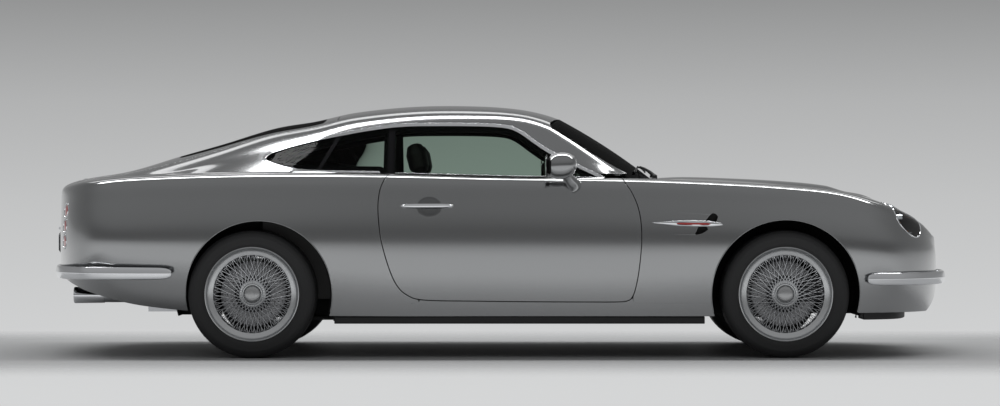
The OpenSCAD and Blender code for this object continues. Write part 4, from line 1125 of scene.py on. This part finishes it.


# darker paint on the handle cup: painted shade of its recess
HANDLE_CUP_SHADE = material("handle_cup_painted_shade", (0.16, 0.163, 0.167), 0.2, 0.95, coat=1.0, bump=("noise", 200, 0.02, 0.0003))
for side_name, m in PAIRS:
    # door handle: a blade over an oval cup, painted darker for the shade of a recess
    h = Mesh()
    xs = np.linspace(-522, -252, 28)
    e = np.clip(1 - np.abs((xs + 387) / 137)**4, 0.02, 1)
    z0 = 786 + 0.004 * (xs + 387)
    path = np.stack([xs, side_y(xs, z0) + 12 + 12 * np.clip(e, 0, 1), z0], 1)
    h.tube(path, 10.5 * np.sqrt(e), n=14, mat=0, squash=0.55, up=(0, 0, 1))
    for x in (-505, -270):
        y = side_y(x, 786)[0]
        h.blob((x, y + 6, 786), (15, 16, 8.5), power=2.6, n=8, mat=0)
    a = np.linspace(0, 2 * math.pi, 48, endpoint=False)
    rows = []
    for r, d in ((1.06, 0.6), (1.0, 1.4), (0.93, 0.4), (0.86, 0.9), (0.6, 1.2), (0.3, 1.3), (0.02, 1.3)):
        xx, zz = -377 + 60 * r * np.cos(a), 780 + 50 * r * np.sin(a)
        rows.append(np.stack([xx, side_y(xx, zz) + d, zz], 1))
    h.add(np.concatenate(rows), [(i * 48 + j, i * 48 + (j + 1) % 48, (i + 1) * 48 + (j + 1) % 48, (i + 1) * 48 + j)
                                 for i in range(len(rows) - 1) for j in range(48)], 1)
    place(h.done(f"door_handle_{side_name}", [CHROME, HANDLE_CUP_SHADE], mirror=m), f"door_{side_name}_body")
    # door mirror: rounded shell, glass and a foot that flows into the door top
    h = Mesh()

    def shell(q):
        x, y, z = q
        f = 1 + 0.10 * x
        return np.array([x * (1.0 if x > 0 else 0.62), y * f, z * f + 0.06 * x])
    h.blob((284, 956, 992), (98, 76, 67), power=2.35, n=24, mat=0, shape=shell)
    place(h.done(f"mirror_shell_{side_name}", PAINT, mirror=m, angle=80), f"door_{side_name}_body",
          f"mirror_{side_name}", slot="bright_trim")
    g2 = Mesh()
    g2.blob((224, 956, 988), (4, 64, 54), power=2.6, n=14, mat=0)
    g2.blob((227, 956, 988), (6, 70, 60), power=2.6, n=14, mat=1)
    place(g2.done(f"mirror_glass_{side_name}", [SILVER_LAMP, GLOSSBLACK], mirror=m), f"door_{side_name}_body")
    h = Mesh()
    path = smooth([(318, 926), (334, 904), (356, 878), (378, 850)], 6, False)
    zs = np.interp(np.linspace(0, 1, len(path)), [0, 0.35, 0.7, 1], [962, 934, 906, 884])
    w = np.interp(np.linspace(0, 1, len(path)), [0, 0.4, 0.8, 1], [30, 30, 36, 44])
    h.tube(np.column_stack([path, zs]), w, n=16, mat=0, squash=0.8, up=(0, 0, 1))
    place(h.done(f"mirror_foot_{side_name}", PAINT, mirror=m, angle=60), f"door_{side_name}_body")
    # wing vent: chrome spear with a red bar, openings above and below, pressed lines running back from them
    h = Mesh()
    xs = np.linspace(773, 1134, 46)
    w = np.interp(xs, [773, 800, 860, 915, 1000, 1075, 1105, 1125, 1134], [0.6, 4, 9.5, 15.5, 17, 15, 10, 6.5, 1.5])
    zc = np.interp(xs, [773, 915, 1075, 1134], [698.5, 695.5, 692.5, 689.5])
    path = np.stack([xs, side_y(xs, zc) + 3 + 0.16 * w, zc], 1)
    h.tube(path, w, n=16, mat=0, squash=0.42, up=(0, 0, 1))
    xs = np.linspace(898, 1072, 22)
    w = 6.6 * np.sqrt(np.clip(1 - np.abs((xs - 985) / 88)**6, 0.01, 1))
    zc = np.interp(xs, [898, 1072], [694.5, 692.0])
    path = np.stack([xs, side_y(xs, zc) + 10.4, zc], 1)
    h.tube(path, w + 1.8, n=12, mat=2, squash=0.25, up=(0, 0, 1))
    path[:, 1] += 1.3
    h.tube(path, w * 0.8, n=12, mat=1, squash=0.4, up=(0, 0, 1))
    place(h.done(f"wing_vent_trim_{side_name}", [CHROME, RED, GLOSSBLACK], mirror=m), "car_body")
    h = Mesh()
    for x0, z0, x1, z1, r in ((905, 751, 1074, 741, 2.0), (872, 639, 992, 637, 1.6)):
        xs = np.linspace(x0, x1, 18)
        zs = np.linspace(z0, z1, 18)
        h.tube(np.stack([xs, side_y(xs, zs) + 0.4, zs], 1), np.linspace(0.3, r, 18), n=8, mat=0, squash=0.9)
    h.prism([(940, 610), (1150, 610), (1150, 770), (940, 770)], 846, 850, "y", mat=1)
    place(h.done(f"wing_vent_back_{side_name}", [PAINT, BLACK], mirror=m), "car_body")
    # exhaust tip
    h = Mesh()
    h.lathe([(30, -2190), (34, -2250), (36, -2258), (41, -2259), (43.5, -2254), (43, -2240), (41, -2100)],
            centre=(0, 500, 314), axis="x", segs=56)
    place(h.done(f"exhaust_tip_{side_name}", CHROME, mirror=m), "car_body")
    # wiper: arm, blade and pivot cap on the scuttle
    h = Mesh()
    pv = np.array([806.0, 470.0, 938.0]) if m else np.array([820.0, 60.0, 944.0])
    h.lathe([(0, 14), (8, 13), (13, 9), (14, 2), (15, -6)], centre=tuple(pv), axis="z", segs=28)

    def on_screen(v, y):
        t = abs(y) / 640
        p = screen(np.array([v]), np.array([t]))[0]
        return np.array([p[0] + 9, y, p[2] + 11])
    ys = pv[1] - np.linspace(0, 1, 9) * (500 if m else 560)
    blade = [on_screen(0.045 + 0.10 * math.sin(math.pi * 0.9 * k), y) for k, y in zip(np.linspace(0.1, 1, 9), ys)]
    h.tube(blade, 5.0, n=8, squash=0.6)
    mid_b = blade[5]
    h.tube([pv + [0, 0, 8], mix(pv, mid_b, 0.3) + [0, 0, 14], mix(pv, mid_b, 0.65) + [0, 0, 13], mid_b + [2, 0, 5]],
           [7, 5.5, 4.6, 4], n=8)
    place(h.done(f"wiper_{side_name}", BLACK, mirror=m), "car_body")
# boot lip
h = Mesh()
ys = np.linspace(-560, 560, 41)
pts = [np.array([-2243 + 0.00004 * y * y, y, cabin(np.array([-2243.0]), np.array([1 - abs(y) / 720]))[0][2] + 2])
       for y in ys]
h.tube(pts, 5.0, n=10, squash=1.5)
place(h.done("hatch_lip", PAINT), "hatch_body")
# closing strip behind the two sides of the shell
rows = []
zt = np.linspace(0.02, 1.0, 40)
edge = body(np.full(40, TAIL_X + 1.2), zt)
for k in np.linspace(-1.02, 1.02, 13):
    rows.append(np.stack([edge[:, 0] - 3.0 * (1 - k * k), edge[:, 1] * k, edge[:, 2]], 1))
c = Mesh()
c.add(np.concatenate(rows), [(i * 40 + j, i * 40 + j + 1, (i + 1) * 40 + j + 1, (i + 1) * 40 + j)
                             for i in range(12) for j in range(39)], 0)
place(c.done("tail_closing", PAINT), "car_body")
# blank number plate with its lamp bar
h = Mesh()
h.blob((-2374, 0, 590), (5, 235, 58), power=8, n=16, mat=0)
h.blob((-2380, 0, 590), (3, 225, 50), power=10, n=16, mat=1)
for s in (-1, 1):
    h.lathe([(0, -2384), (5, -2383.6), (6.5, -2381)], centre=(0, 85 * s, 600), axis="x", segs=20, mat=2)
h.tube([(-2384, y, 664) for y in np.linspace(-150, 150, 13)], 8, n=10, mat=2, squash=1)
place(h.done("rear_plate_panel", [BLACK, PLATE_WHITE, CHROME]), "car_body")


# cabin
def cushion(name, rows, channels=(), mirror=False, bolster=0.0, margin=0.24, n=36, depth=5.0, edge=0.10):
    """Padded seat part. rows: (centre, half width, half thickness) along its length; the cover is crowned,
    pulled in at the seams, with sewn channels across."""
    c = np.array([r[0] for r in rows], float)
    s = np.linspace(0, 1, 44)
    k = np.linspace(0, 1, len(rows))
    cx, cy, cz = (np.interp(s, k, c[:, i]) for i in range(3))
    hw = np.interp(s, k, [r[1] for r in rows])
    ht = np.interp(s, k, [r[2] for r in rows])
    path = np.stack([cx, cy, cz], 1)
    t = np.gradient(path, axis=0)
    t /= np.linalg.norm(t, axis=1)[:, None]
    yv = np.array([0, 1.0, 0])
    nv = np.cross(yv, t)
    nv = -nv if nv[:, 2].mean() < 0 and abs(t[:, 2].mean()) < 0.6 else nv
    nv /= np.linalg.norm(nv, axis=1)[:, None]
    me = Mesh()
    pts = []
    for i in range(len(s)):
        end = min(s[i], 1 - s[i])
        round_end = 1 - max(0, 1 - end / edge)**3 * 0.55
        for j in range(n * 2):
            a = 2 * math.pi * (j + 0.5) / (n * 2)
            u, w = math.cos(a), math.sin(a)
            r = (abs(u)**3.4 + abs(w)**3.4)**(-1 / 3.4)
            u, w = u * r, w * r
            crown = 1 + 0.16 * (1 - u * u)
            lift = bolster * max(0, (abs(u) - 0.62) / 0.38) * (1 if w > 0 else 0)
            d = ht[i] * w * round_end * crown + lift
            if w > 0.3:
                if abs(u) < 1 - margin:
                    d -= depth * max([math.exp(-((s[i] - ch) / 0.010)**2) for ch in channels], default=0)
                d -= depth * 0.9 * math.exp(-((abs(u) - (1 - margin)) / 0.035)**2)
            pts.append(path[i] + yv * hw[i] * u * (0.975 + 0.025 * round_end) + nv[i] * d)
    m2 = n * 2
    faces = [(i * m2 + j, i * m2 + (j + 1) % m2, (i + 1) * m2 + (j + 1) % m2, (i + 1) * m2 + j)
             for i in range(len(s) - 1) for j in range(m2)]
    faces += [tuple(range(m2))[::-1], tuple((len(s) - 1) * m2 + j for j in range(m2))]
    me.add(pts, faces, 0)
    for sg in (-1, 1):
        line = [path[i] + yv * hw[i] * sg * 0.985 + nv[i] * ht[i] * 0.62 for i in range(1, len(s) - 1)]
        me.tube(line, 3.2, n=6, mat=1)
    o = me.done(name, [HIDE, PIPING], mirror=mirror, angle=70)
    return o


PIPING = material("seat_piping", (0.03, 0.028, 0.027), 0.5)
for side_name, m in PAIRS:
    ch = (0.16, 0.30, 0.44, 0.58, 0.72, 0.86)
    o = cushion(f"front_seat_cushion_{side_name}", [((200, 400, 352), 238, 44), ((150, 400, 372), 250, 60),
                ((-60, 400, 364), 250, 62), ((-300, 400, 338), 240, 60), ((-330, 400, 334), 228, 44)],
                channels=ch, bolster=22, mirror=m)
    place(o, "car_body", *(["front_seats"] if not m else []), slot="seat_leather")
    o = cushion(f"front_seat_back_{side_name}", [((-250, 400, 372), 232, 46), ((-288, 400, 440), 246, 56),
                ((-352, 400, 660), 252, 56), ((-420, 400, 880), 214, 44), ((-440, 400, 940), 178, 32)],
                channels=ch, bolster=26, mirror=m)
    place(o, "car_body", slot="seat_leather")
    o = cushion(f"front_headrest_{side_name}", [((-432, 400, 958), 96, 30), ((-440, 400, 990), 122, 46),
                ((-456, 400, 1062), 126, 48), ((-470, 400, 1112), 104, 30)], mirror=m,
                margin=0.12)
    place(o, "car_body")
    f = Mesh()
    for dy in (-52, 52):
        f.tube([(-420, 400 + dy, 900), (-438, 400 + dy, 985)], 6, n=10, mat=0)
    f.prism([(-335, 214), (150, 214), (170, 300), (-340, 300)], 190, 610, "y", mat=1)
    for dy in (-205, 205):
        f.tube([(-330, 400 + dy, 206), (-60, 400 + dy, 206), (190, 400 + dy, 206)], 10, n=8, mat=0)
    place(f.done(f"front_seat_frame_{side_name}", [SATIN, TRIM], mirror=m, bevel=8), "car_body")
    o = cushion(f"rear_seat_cushion_{side_name}", [((-610, 385, 372), 212, 40), ((-650, 385, 388), 226, 56),
                ((-860, 385, 372), 226, 60), ((-1000, 385, 356), 216, 50)],
                channels=(0.2, 0.4, 0.6, 0.8), bolster=14, mirror=m)
    place(o, "car_body", *(["rear_seats"] if not m else []), slot="seat_leather")
    o = cushion(f"rear_seat_back_{side_name}", [((-912, 385, 410), 206, 40), ((-950, 385, 470), 222, 52),
                ((-1010, 385, 640), 222, 50), ((-1082, 385, 830), 196, 36), ((-1098, 385, 872), 172, 26)],
                channels=(0.2, 0.4, 0.6, 0.8), bolster=14, mirror=m)
    place(o, "car_body", slot="seat_leather")
    f = Mesh()
    f.prism([(-1050, 200), (-640, 200), (-620, 330), (-1050, 330)], 160, 612, "y")
    place(f.done(f"rear_seat_base_{side_name}", TRIM, mirror=m, bevel=14, segs=3), "car_body")
    # door card: armrest, pull and speaker ring
    f = Mesh()
    f.blob((40, 800, 640), (300, 40, 34), power=4, n=16, mat=0)
    f.lathe([(0, -4), (40, -5), (68, -2), (76, -6), (78, 0)], centre=(420, 826, 430), segs=40, mat=1)
    f.tube([(120, 806, 742), (160, 788, 748), (230, 788, 748), (262, 806, 742)], 8, n=8, mat=1)
    place(f.done(f"door_card_{side_name}", [TRIM, SATIN], mirror=m), f"door_{side_name}_body")
# facia: lofted across the car, with binnacle, dials, vents and centre stack
f = Mesh()
ys = np.linspace(-632, 632, 49)
sec = [(548, 706), (536, 728), (530, 760), (534, 792), (548, 826), (574, 856), (616, 876), (690, 884), (780, 886),
       (838, 880), (838, 700)]
pts = []
for y in ys:
    hood = 26 * math.exp(-((y + 400) / 130)**2)
    for k, (x, z) in enumerate(sec):
        dz = hood * (1 if 2 < k < 8 else 0.2 if k < 3 else 0)
        dx = -hood * 1.6 * (1 if 2 < k < 6 else 0)
        pts.append((x + dx + 26 * (abs(y) / 632)**2, y, z + dz - 14 * (abs(y) / 632)**2))
n = len(sec)
f.add(pts, [(i * n + j, i * n + (j + 1) % n, (i + 1) * n + (j + 1) % n, (i + 1) * n + j) for i in range(len(ys) - 1)
            for j in range(n)] + [tuple(range(n)), tuple((len(ys) - 1) * n + j for j in range(n))[::-1]], 0)
for y, r in ((-470, 44), (-400, 30), (-330, 44)):
    f.lathe([(0, 503), (r * 0.9, 503), (r, 497), (r + 5, 493), (r + 7, 498), (r + 7, 520)], centre=(0, y, 806),
            axis="x", segs=40, mat=1)
for y in (-585, -180, 180, 585):
    f.lathe([(0, 536), (22, 534), (30, 528), (36, 526), (38, 532), (38, 548)], centre=(0, y, 800), axis="x", segs=32,
            mat=1)
f.blob((560, 0, 640), (60, 128, 150), power=6, n=16, mat=0)
f.blob((502, 0, 706), (4, 104, 58), power=10, n=12, mat=2)
for k in range(3):
    f.lathe([(0, 488), (13, 488), (15, 491), (15, 506)], centre=(0, -60 + 60 * k, 590), axis="x", segs=28, mat=1)
o = f.done("facia", [TRIM, SATIN, GLOSSBLACK], angle=40)
place(o, "car_body", "dashboard", slot="cabin_trim")
f = Mesh()
f.blob((250, 0, 452), (452, 122, 74), power=7, n=22, mat=0)
f.blob((-60, 0, 540), (230, 92, 26), power=4, n=16, mat=0)
f.tube([(330, 0, 520), (322, 0, 590), (312, 0, 622)], [16, 10, 9], n=14, mat=1)
f.blob((308, 0, 642), (26, 24, 26), power=2.2, n=12, mat=0)
f.blob((330, 0, 528), (60, 44, 10), power=3, n=12, mat=2)
place(f.done("centre_console", [TRIM, SATIN, GLOSSBLACK], angle=45), "car_body")
# steering wheel: rim, three spokes, plain boss
w = Mesh()
tilt = math.radians(-65)
ca, sa = math.cos(tilt), math.sin(tilt)
wheel_c = np.array([330.0, -400.0, 800.0])


def on_wheel(r, a, h=0.0):
    p = np.array([r * math.cos(a), r * math.sin(a), h])
    return wheel_c + np.array([p[0] * ca + p[2] * sa, p[1], -p[0] * sa + p[2] * ca])


w.tube([on_wheel(176, a) for a in np.linspace(0, 2 * math.pi, 72, endpoint=False)], 14, n=14, mat=0, closed=True,
       cap=False, up=tuple(on_wheel(0, 0, 1) - on_wheel(0, 0, 0)))
for a in (math.pi / 2, -math.pi / 2, 0 if sa > 0 else math.pi):
    w.tube([on_wheel(30, a, -16), on_wheel(100, a, -12), on_wheel(168, a, -2)], [16, 11, 10], n=10, mat=1, squash=0.35,
           up=tuple(np.cross(on_wheel(1, a) - on_wheel(0, a), on_wheel(0, 0, 1) - on_wheel(0, 0, 0))))
for r0, h0, r1, h1 in ((0, 6, 30, 4), (30, 4, 46, -6), (46, -6, 50, -22), (50, -22, 30, -60)):
    pts = [on_wheel(r, 2 * math.pi * k / 32, h) for r, h in ((r0 + 0.01, h0), (r1, h1)) for k in range(32)]
    w.add(pts, [(k, (k + 1) % 32, 32 + (k + 1) % 32, 32 + k) for k in range(32)], 0)
w.tube([on_wheel(0, 0, -50), on_wheel(0, 0, -190)], 24, n=16, mat=0)
o = w.done("steering_wheel_rim", [TRIM, SATIN], angle=50)
place(o, "car_body", "steering_wheel", slot="cabin_trim")
# carpets, rear shelf, inner mirror and side trims
f = Mesh()
f.prism([(-1040, 140), (840, 140), (840, 700), (-1040, 700)], 200.5, 208, "z", mat=0)
f.prism([(-1040, -700), (840, -700), (840, -140), (-1040, -140)], 200.5, 208, "z", mat=0)
f.prism([(-2240, -640), (-1060, -640), (-1060, 640), (-2240, 640)], 480.5, 488, "z", mat=0)
f.prism([(-1330, -560), (-1110, -560), (-1110, 560), (-1330, 560)], 872, 884, "z", mat=1)
o = f.done("cabin_carpet", [CARPET, TRIM], bevel=3)
place(o, "car_body")
f = Mesh()
f.blob((96, 0, 1196), (10, 118, 30), power=5, n=14, mat=0)
f.tube([(120, 0, 1222), (110, 0, 1260)], 7, n=8, mat=0)
place(f.done("rear_view_mirror", GLOSSBLACK), "car_body")
for side_name, m in PAIRS:
    f = Mesh()
    f.prism([(-1250, 300), (-650, 300), (-650, 935), (-1250, 935)], 700, 706, "y", mat=0)
    place(f.done(f"rear_side_trim_{side_name}", TRIM, mirror=m, bevel=2), "car_body")

# finish for the CAD nodes that show as they are
CARRIED = {"floor_pan": FLOOR_METAL, "firewall": DARK_METAL_AND_SHADE, "wheel_liners": LINER, "front_suspension": DARK_METAL_AND_SHADE,
           "rear_suspension": DARK_METAL_AND_SHADE, "knuckle_left": DARK_METAL_AND_SHADE, "knuckle_right": DARK_METAL_AND_SHADE, "engine_block": ENGINE,
           "exhaust": SATIN, "lower_trim": BLACK, "grille": BLACK, "headlamps": LENS, "tail_lamps": RED,
           "front_bumper": CHROME, "rear_bumper": CHROME, "dashboard": TRIM, "steering_wheel": TRIM,
           "front_seats": HIDE, "rear_seats": HIDE, "mirror_left": CHROME, "mirror_right": CHROME}
for node_name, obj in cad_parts.items():
    if node_name.startswith("tyre"):
        m = RUBBER
    elif node_name.startswith("wheel_"):
        m = CARRIED.get(node_name, SATIN)
    else:
        m = CARRIED.get(node_name, BLACK)
    obj.data.materials.clear()
    obj.data.materials.append(m)

# studio
def floor_material():
    """Pale floor that thins out into the backdrop behind and beside the car."""
    m = material("studio_floor", (0.40, 0.404, 0.408), 0.55, spec=0.2)
    nt = m.node_tree
    b = nt.nodes["Principled BSDF"]
    out = nt.nodes["Material Output"]
    tc = nt.nodes.new("ShaderNodeTexCoord")
    sc = nt.nodes.new("ShaderNodeVectorMath")
    sc.operation = "ABSOLUTE"
    sub = nt.nodes.new("ShaderNodeVectorMath")
    sub.operation = "SUBTRACT"
    sub.inputs[1].default_value = (3.6, 1.05, 0)
    mx = nt.nodes.new("ShaderNodeVectorMath")
    mx.operation = "MAXIMUM"
    mx.inputs[1].default_value = (0, 0, 0)
    ln = nt.nodes.new("ShaderNodeVectorMath")
    ln.operation = "LENGTH"
    mr = nt.nodes.new("ShaderNodeMapRange")
    mr.interpolation_type = "SMOOTHSTEP"
    mr.inputs["From Min"].default_value = 0.0
    mr.inputs["From Max"].default_value = 1.7
    tr = nt.nodes.new("ShaderNodeBsdfTransparent")
    ms = nt.nodes.new("ShaderNodeMixShader")
    nt.links.new(tc.outputs["Object"], sc.inputs[0])
    nt.links.new(sc.outputs[0], sub.inputs[0])
    nt.links.new(sub.outputs[0], mx.inputs[0])
    nt.links.new(mx.outputs[0], ln.inputs[0])
    nt.links.new(ln.outputs["Value"], mr.inputs["Value"])
    nt.links.new(mr.outputs[0], ms.inputs[0])
    nt.links.new(b.outputs[0], ms.inputs[1])
    nt.links.new(tr.outputs[0], ms.inputs[2])
    nt.links.new(ms.outputs[0], out.inputs["Surface"])
    return m


floor_mesh = bpy.data.meshes.new("floor")
floor_mesh.from_pydata([(-12, -8, 0), (12, -8, 0), (12, 8, 0), (-12, 8, 0)], [], [(0, 1, 2, 3)])
floor_mesh.materials.append(floor_material())
floor = bpy.data.objects.new("floor", floor_mesh)
bpy.context.scene.collection.objects.link(floor)


def area(name, loc, rot, size, power):
    l = bpy.data.lights.new(name, "AREA")
    l.shape = "RECTANGLE"
    l.size, l.size_y = size
    l.energy = power
    o = bpy.data.objects.new(name, l)
    o.location = loc
    o.rotation_euler = [math.radians(a) for a in rot]
    bpy.context.scene.collection.objects.link(o)


area("overhead", (0, 0.35, 5.0), (0, 0, 0), (11.0, 0.8), 320)
area("rear_top", (0, 3.2, 4.6), (-34, 0, 0), (10, 1.2), 50)


def studio_world():
    """Bright backdrop behind the car, a darker room in front; by direction alone."""
    w = bpy.data.worlds.new("studio")
    w.use_nodes = True
    nt = w.node_tree
    bg = nt.nodes["Background"]
    tc = nt.nodes.new("ShaderNodeTexCoord")
    sep = nt.nodes.new("ShaderNodeSeparateXYZ")
    nt.links.new(tc.outputs["Generated"], sep.inputs[0])

    def ramp(stops):
        mr = nt.nodes.new("ShaderNodeMapRange")
        mr.inputs["From Min"].default_value = -0.1
        mr.inputs["From Max"].default_value = 0.9
        nt.links.new(sep.outputs["Z"], mr.inputs["Value"])
        r = nt.nodes.new("ShaderNodeValToRGB")
        nt.links.new(mr.outputs[0], r.inputs[0])
        e = r.color_ramp.elements
        while len(e) < len(stops):
            e.new(0.5)
        for q, (z, g) in zip(e, stops):
            q.position = z + 0.1
            q.color = (g, g * 1.01, g * 1.015, 1)
        return r
    back = ramp([(-0.06, 0.66), (-0.038, 0.62), (0.0, 0.54), (0.033, 0.44), (0.066, 0.29), (0.14, 0.24), (0.6, 0.22)])
    front = ramp([(-0.1, 0.86), (-0.03, 0.62), (0.02, 0.17), (0.12, 0.17), (0.3, 0.30), (0.6, 0.36)])
    mr = nt.nodes.new("ShaderNodeMapRange")
    mr.interpolation_type = "SMOOTHSTEP"
    mr.inputs["From Min"].default_value = -0.4
    mr.inputs["From Max"].default_value = 0.35
    nt.links.new(sep.outputs["Y"], mr.inputs["Value"])
    mx = nt.nodes.new("ShaderNodeMixRGB")
    nt.links.new(mr.outputs[0], mx.inputs[0])
    nt.links.new(front.outputs[0], mx.inputs[1])
    nt.links.new(back.outputs[0], mx.inputs[2])
    nt.links.new(mx.outputs[0], bg.inputs["Color"])
    bg.inputs["Strength"].default_value = 1.0
    bpy.context.scene.world = w


studio_world()

cam_data = bpy.data.cameras.new("camera")
cam_data.lens = 112
cam_data.sensor_width = 36
cam_data.clip_end = 200
cam = bpy.data.objects.new("camera", cam_data)
cam.location = (-0.012, -16.93, 0.80)
cam.rotation_euler = (math.radians(90), 0, 0)
bpy.context.scene.collection.objects.link(cam)
bpy.context.scene.camera = cam
bpy.context.scene.view_settings.view_transform = "Standard"
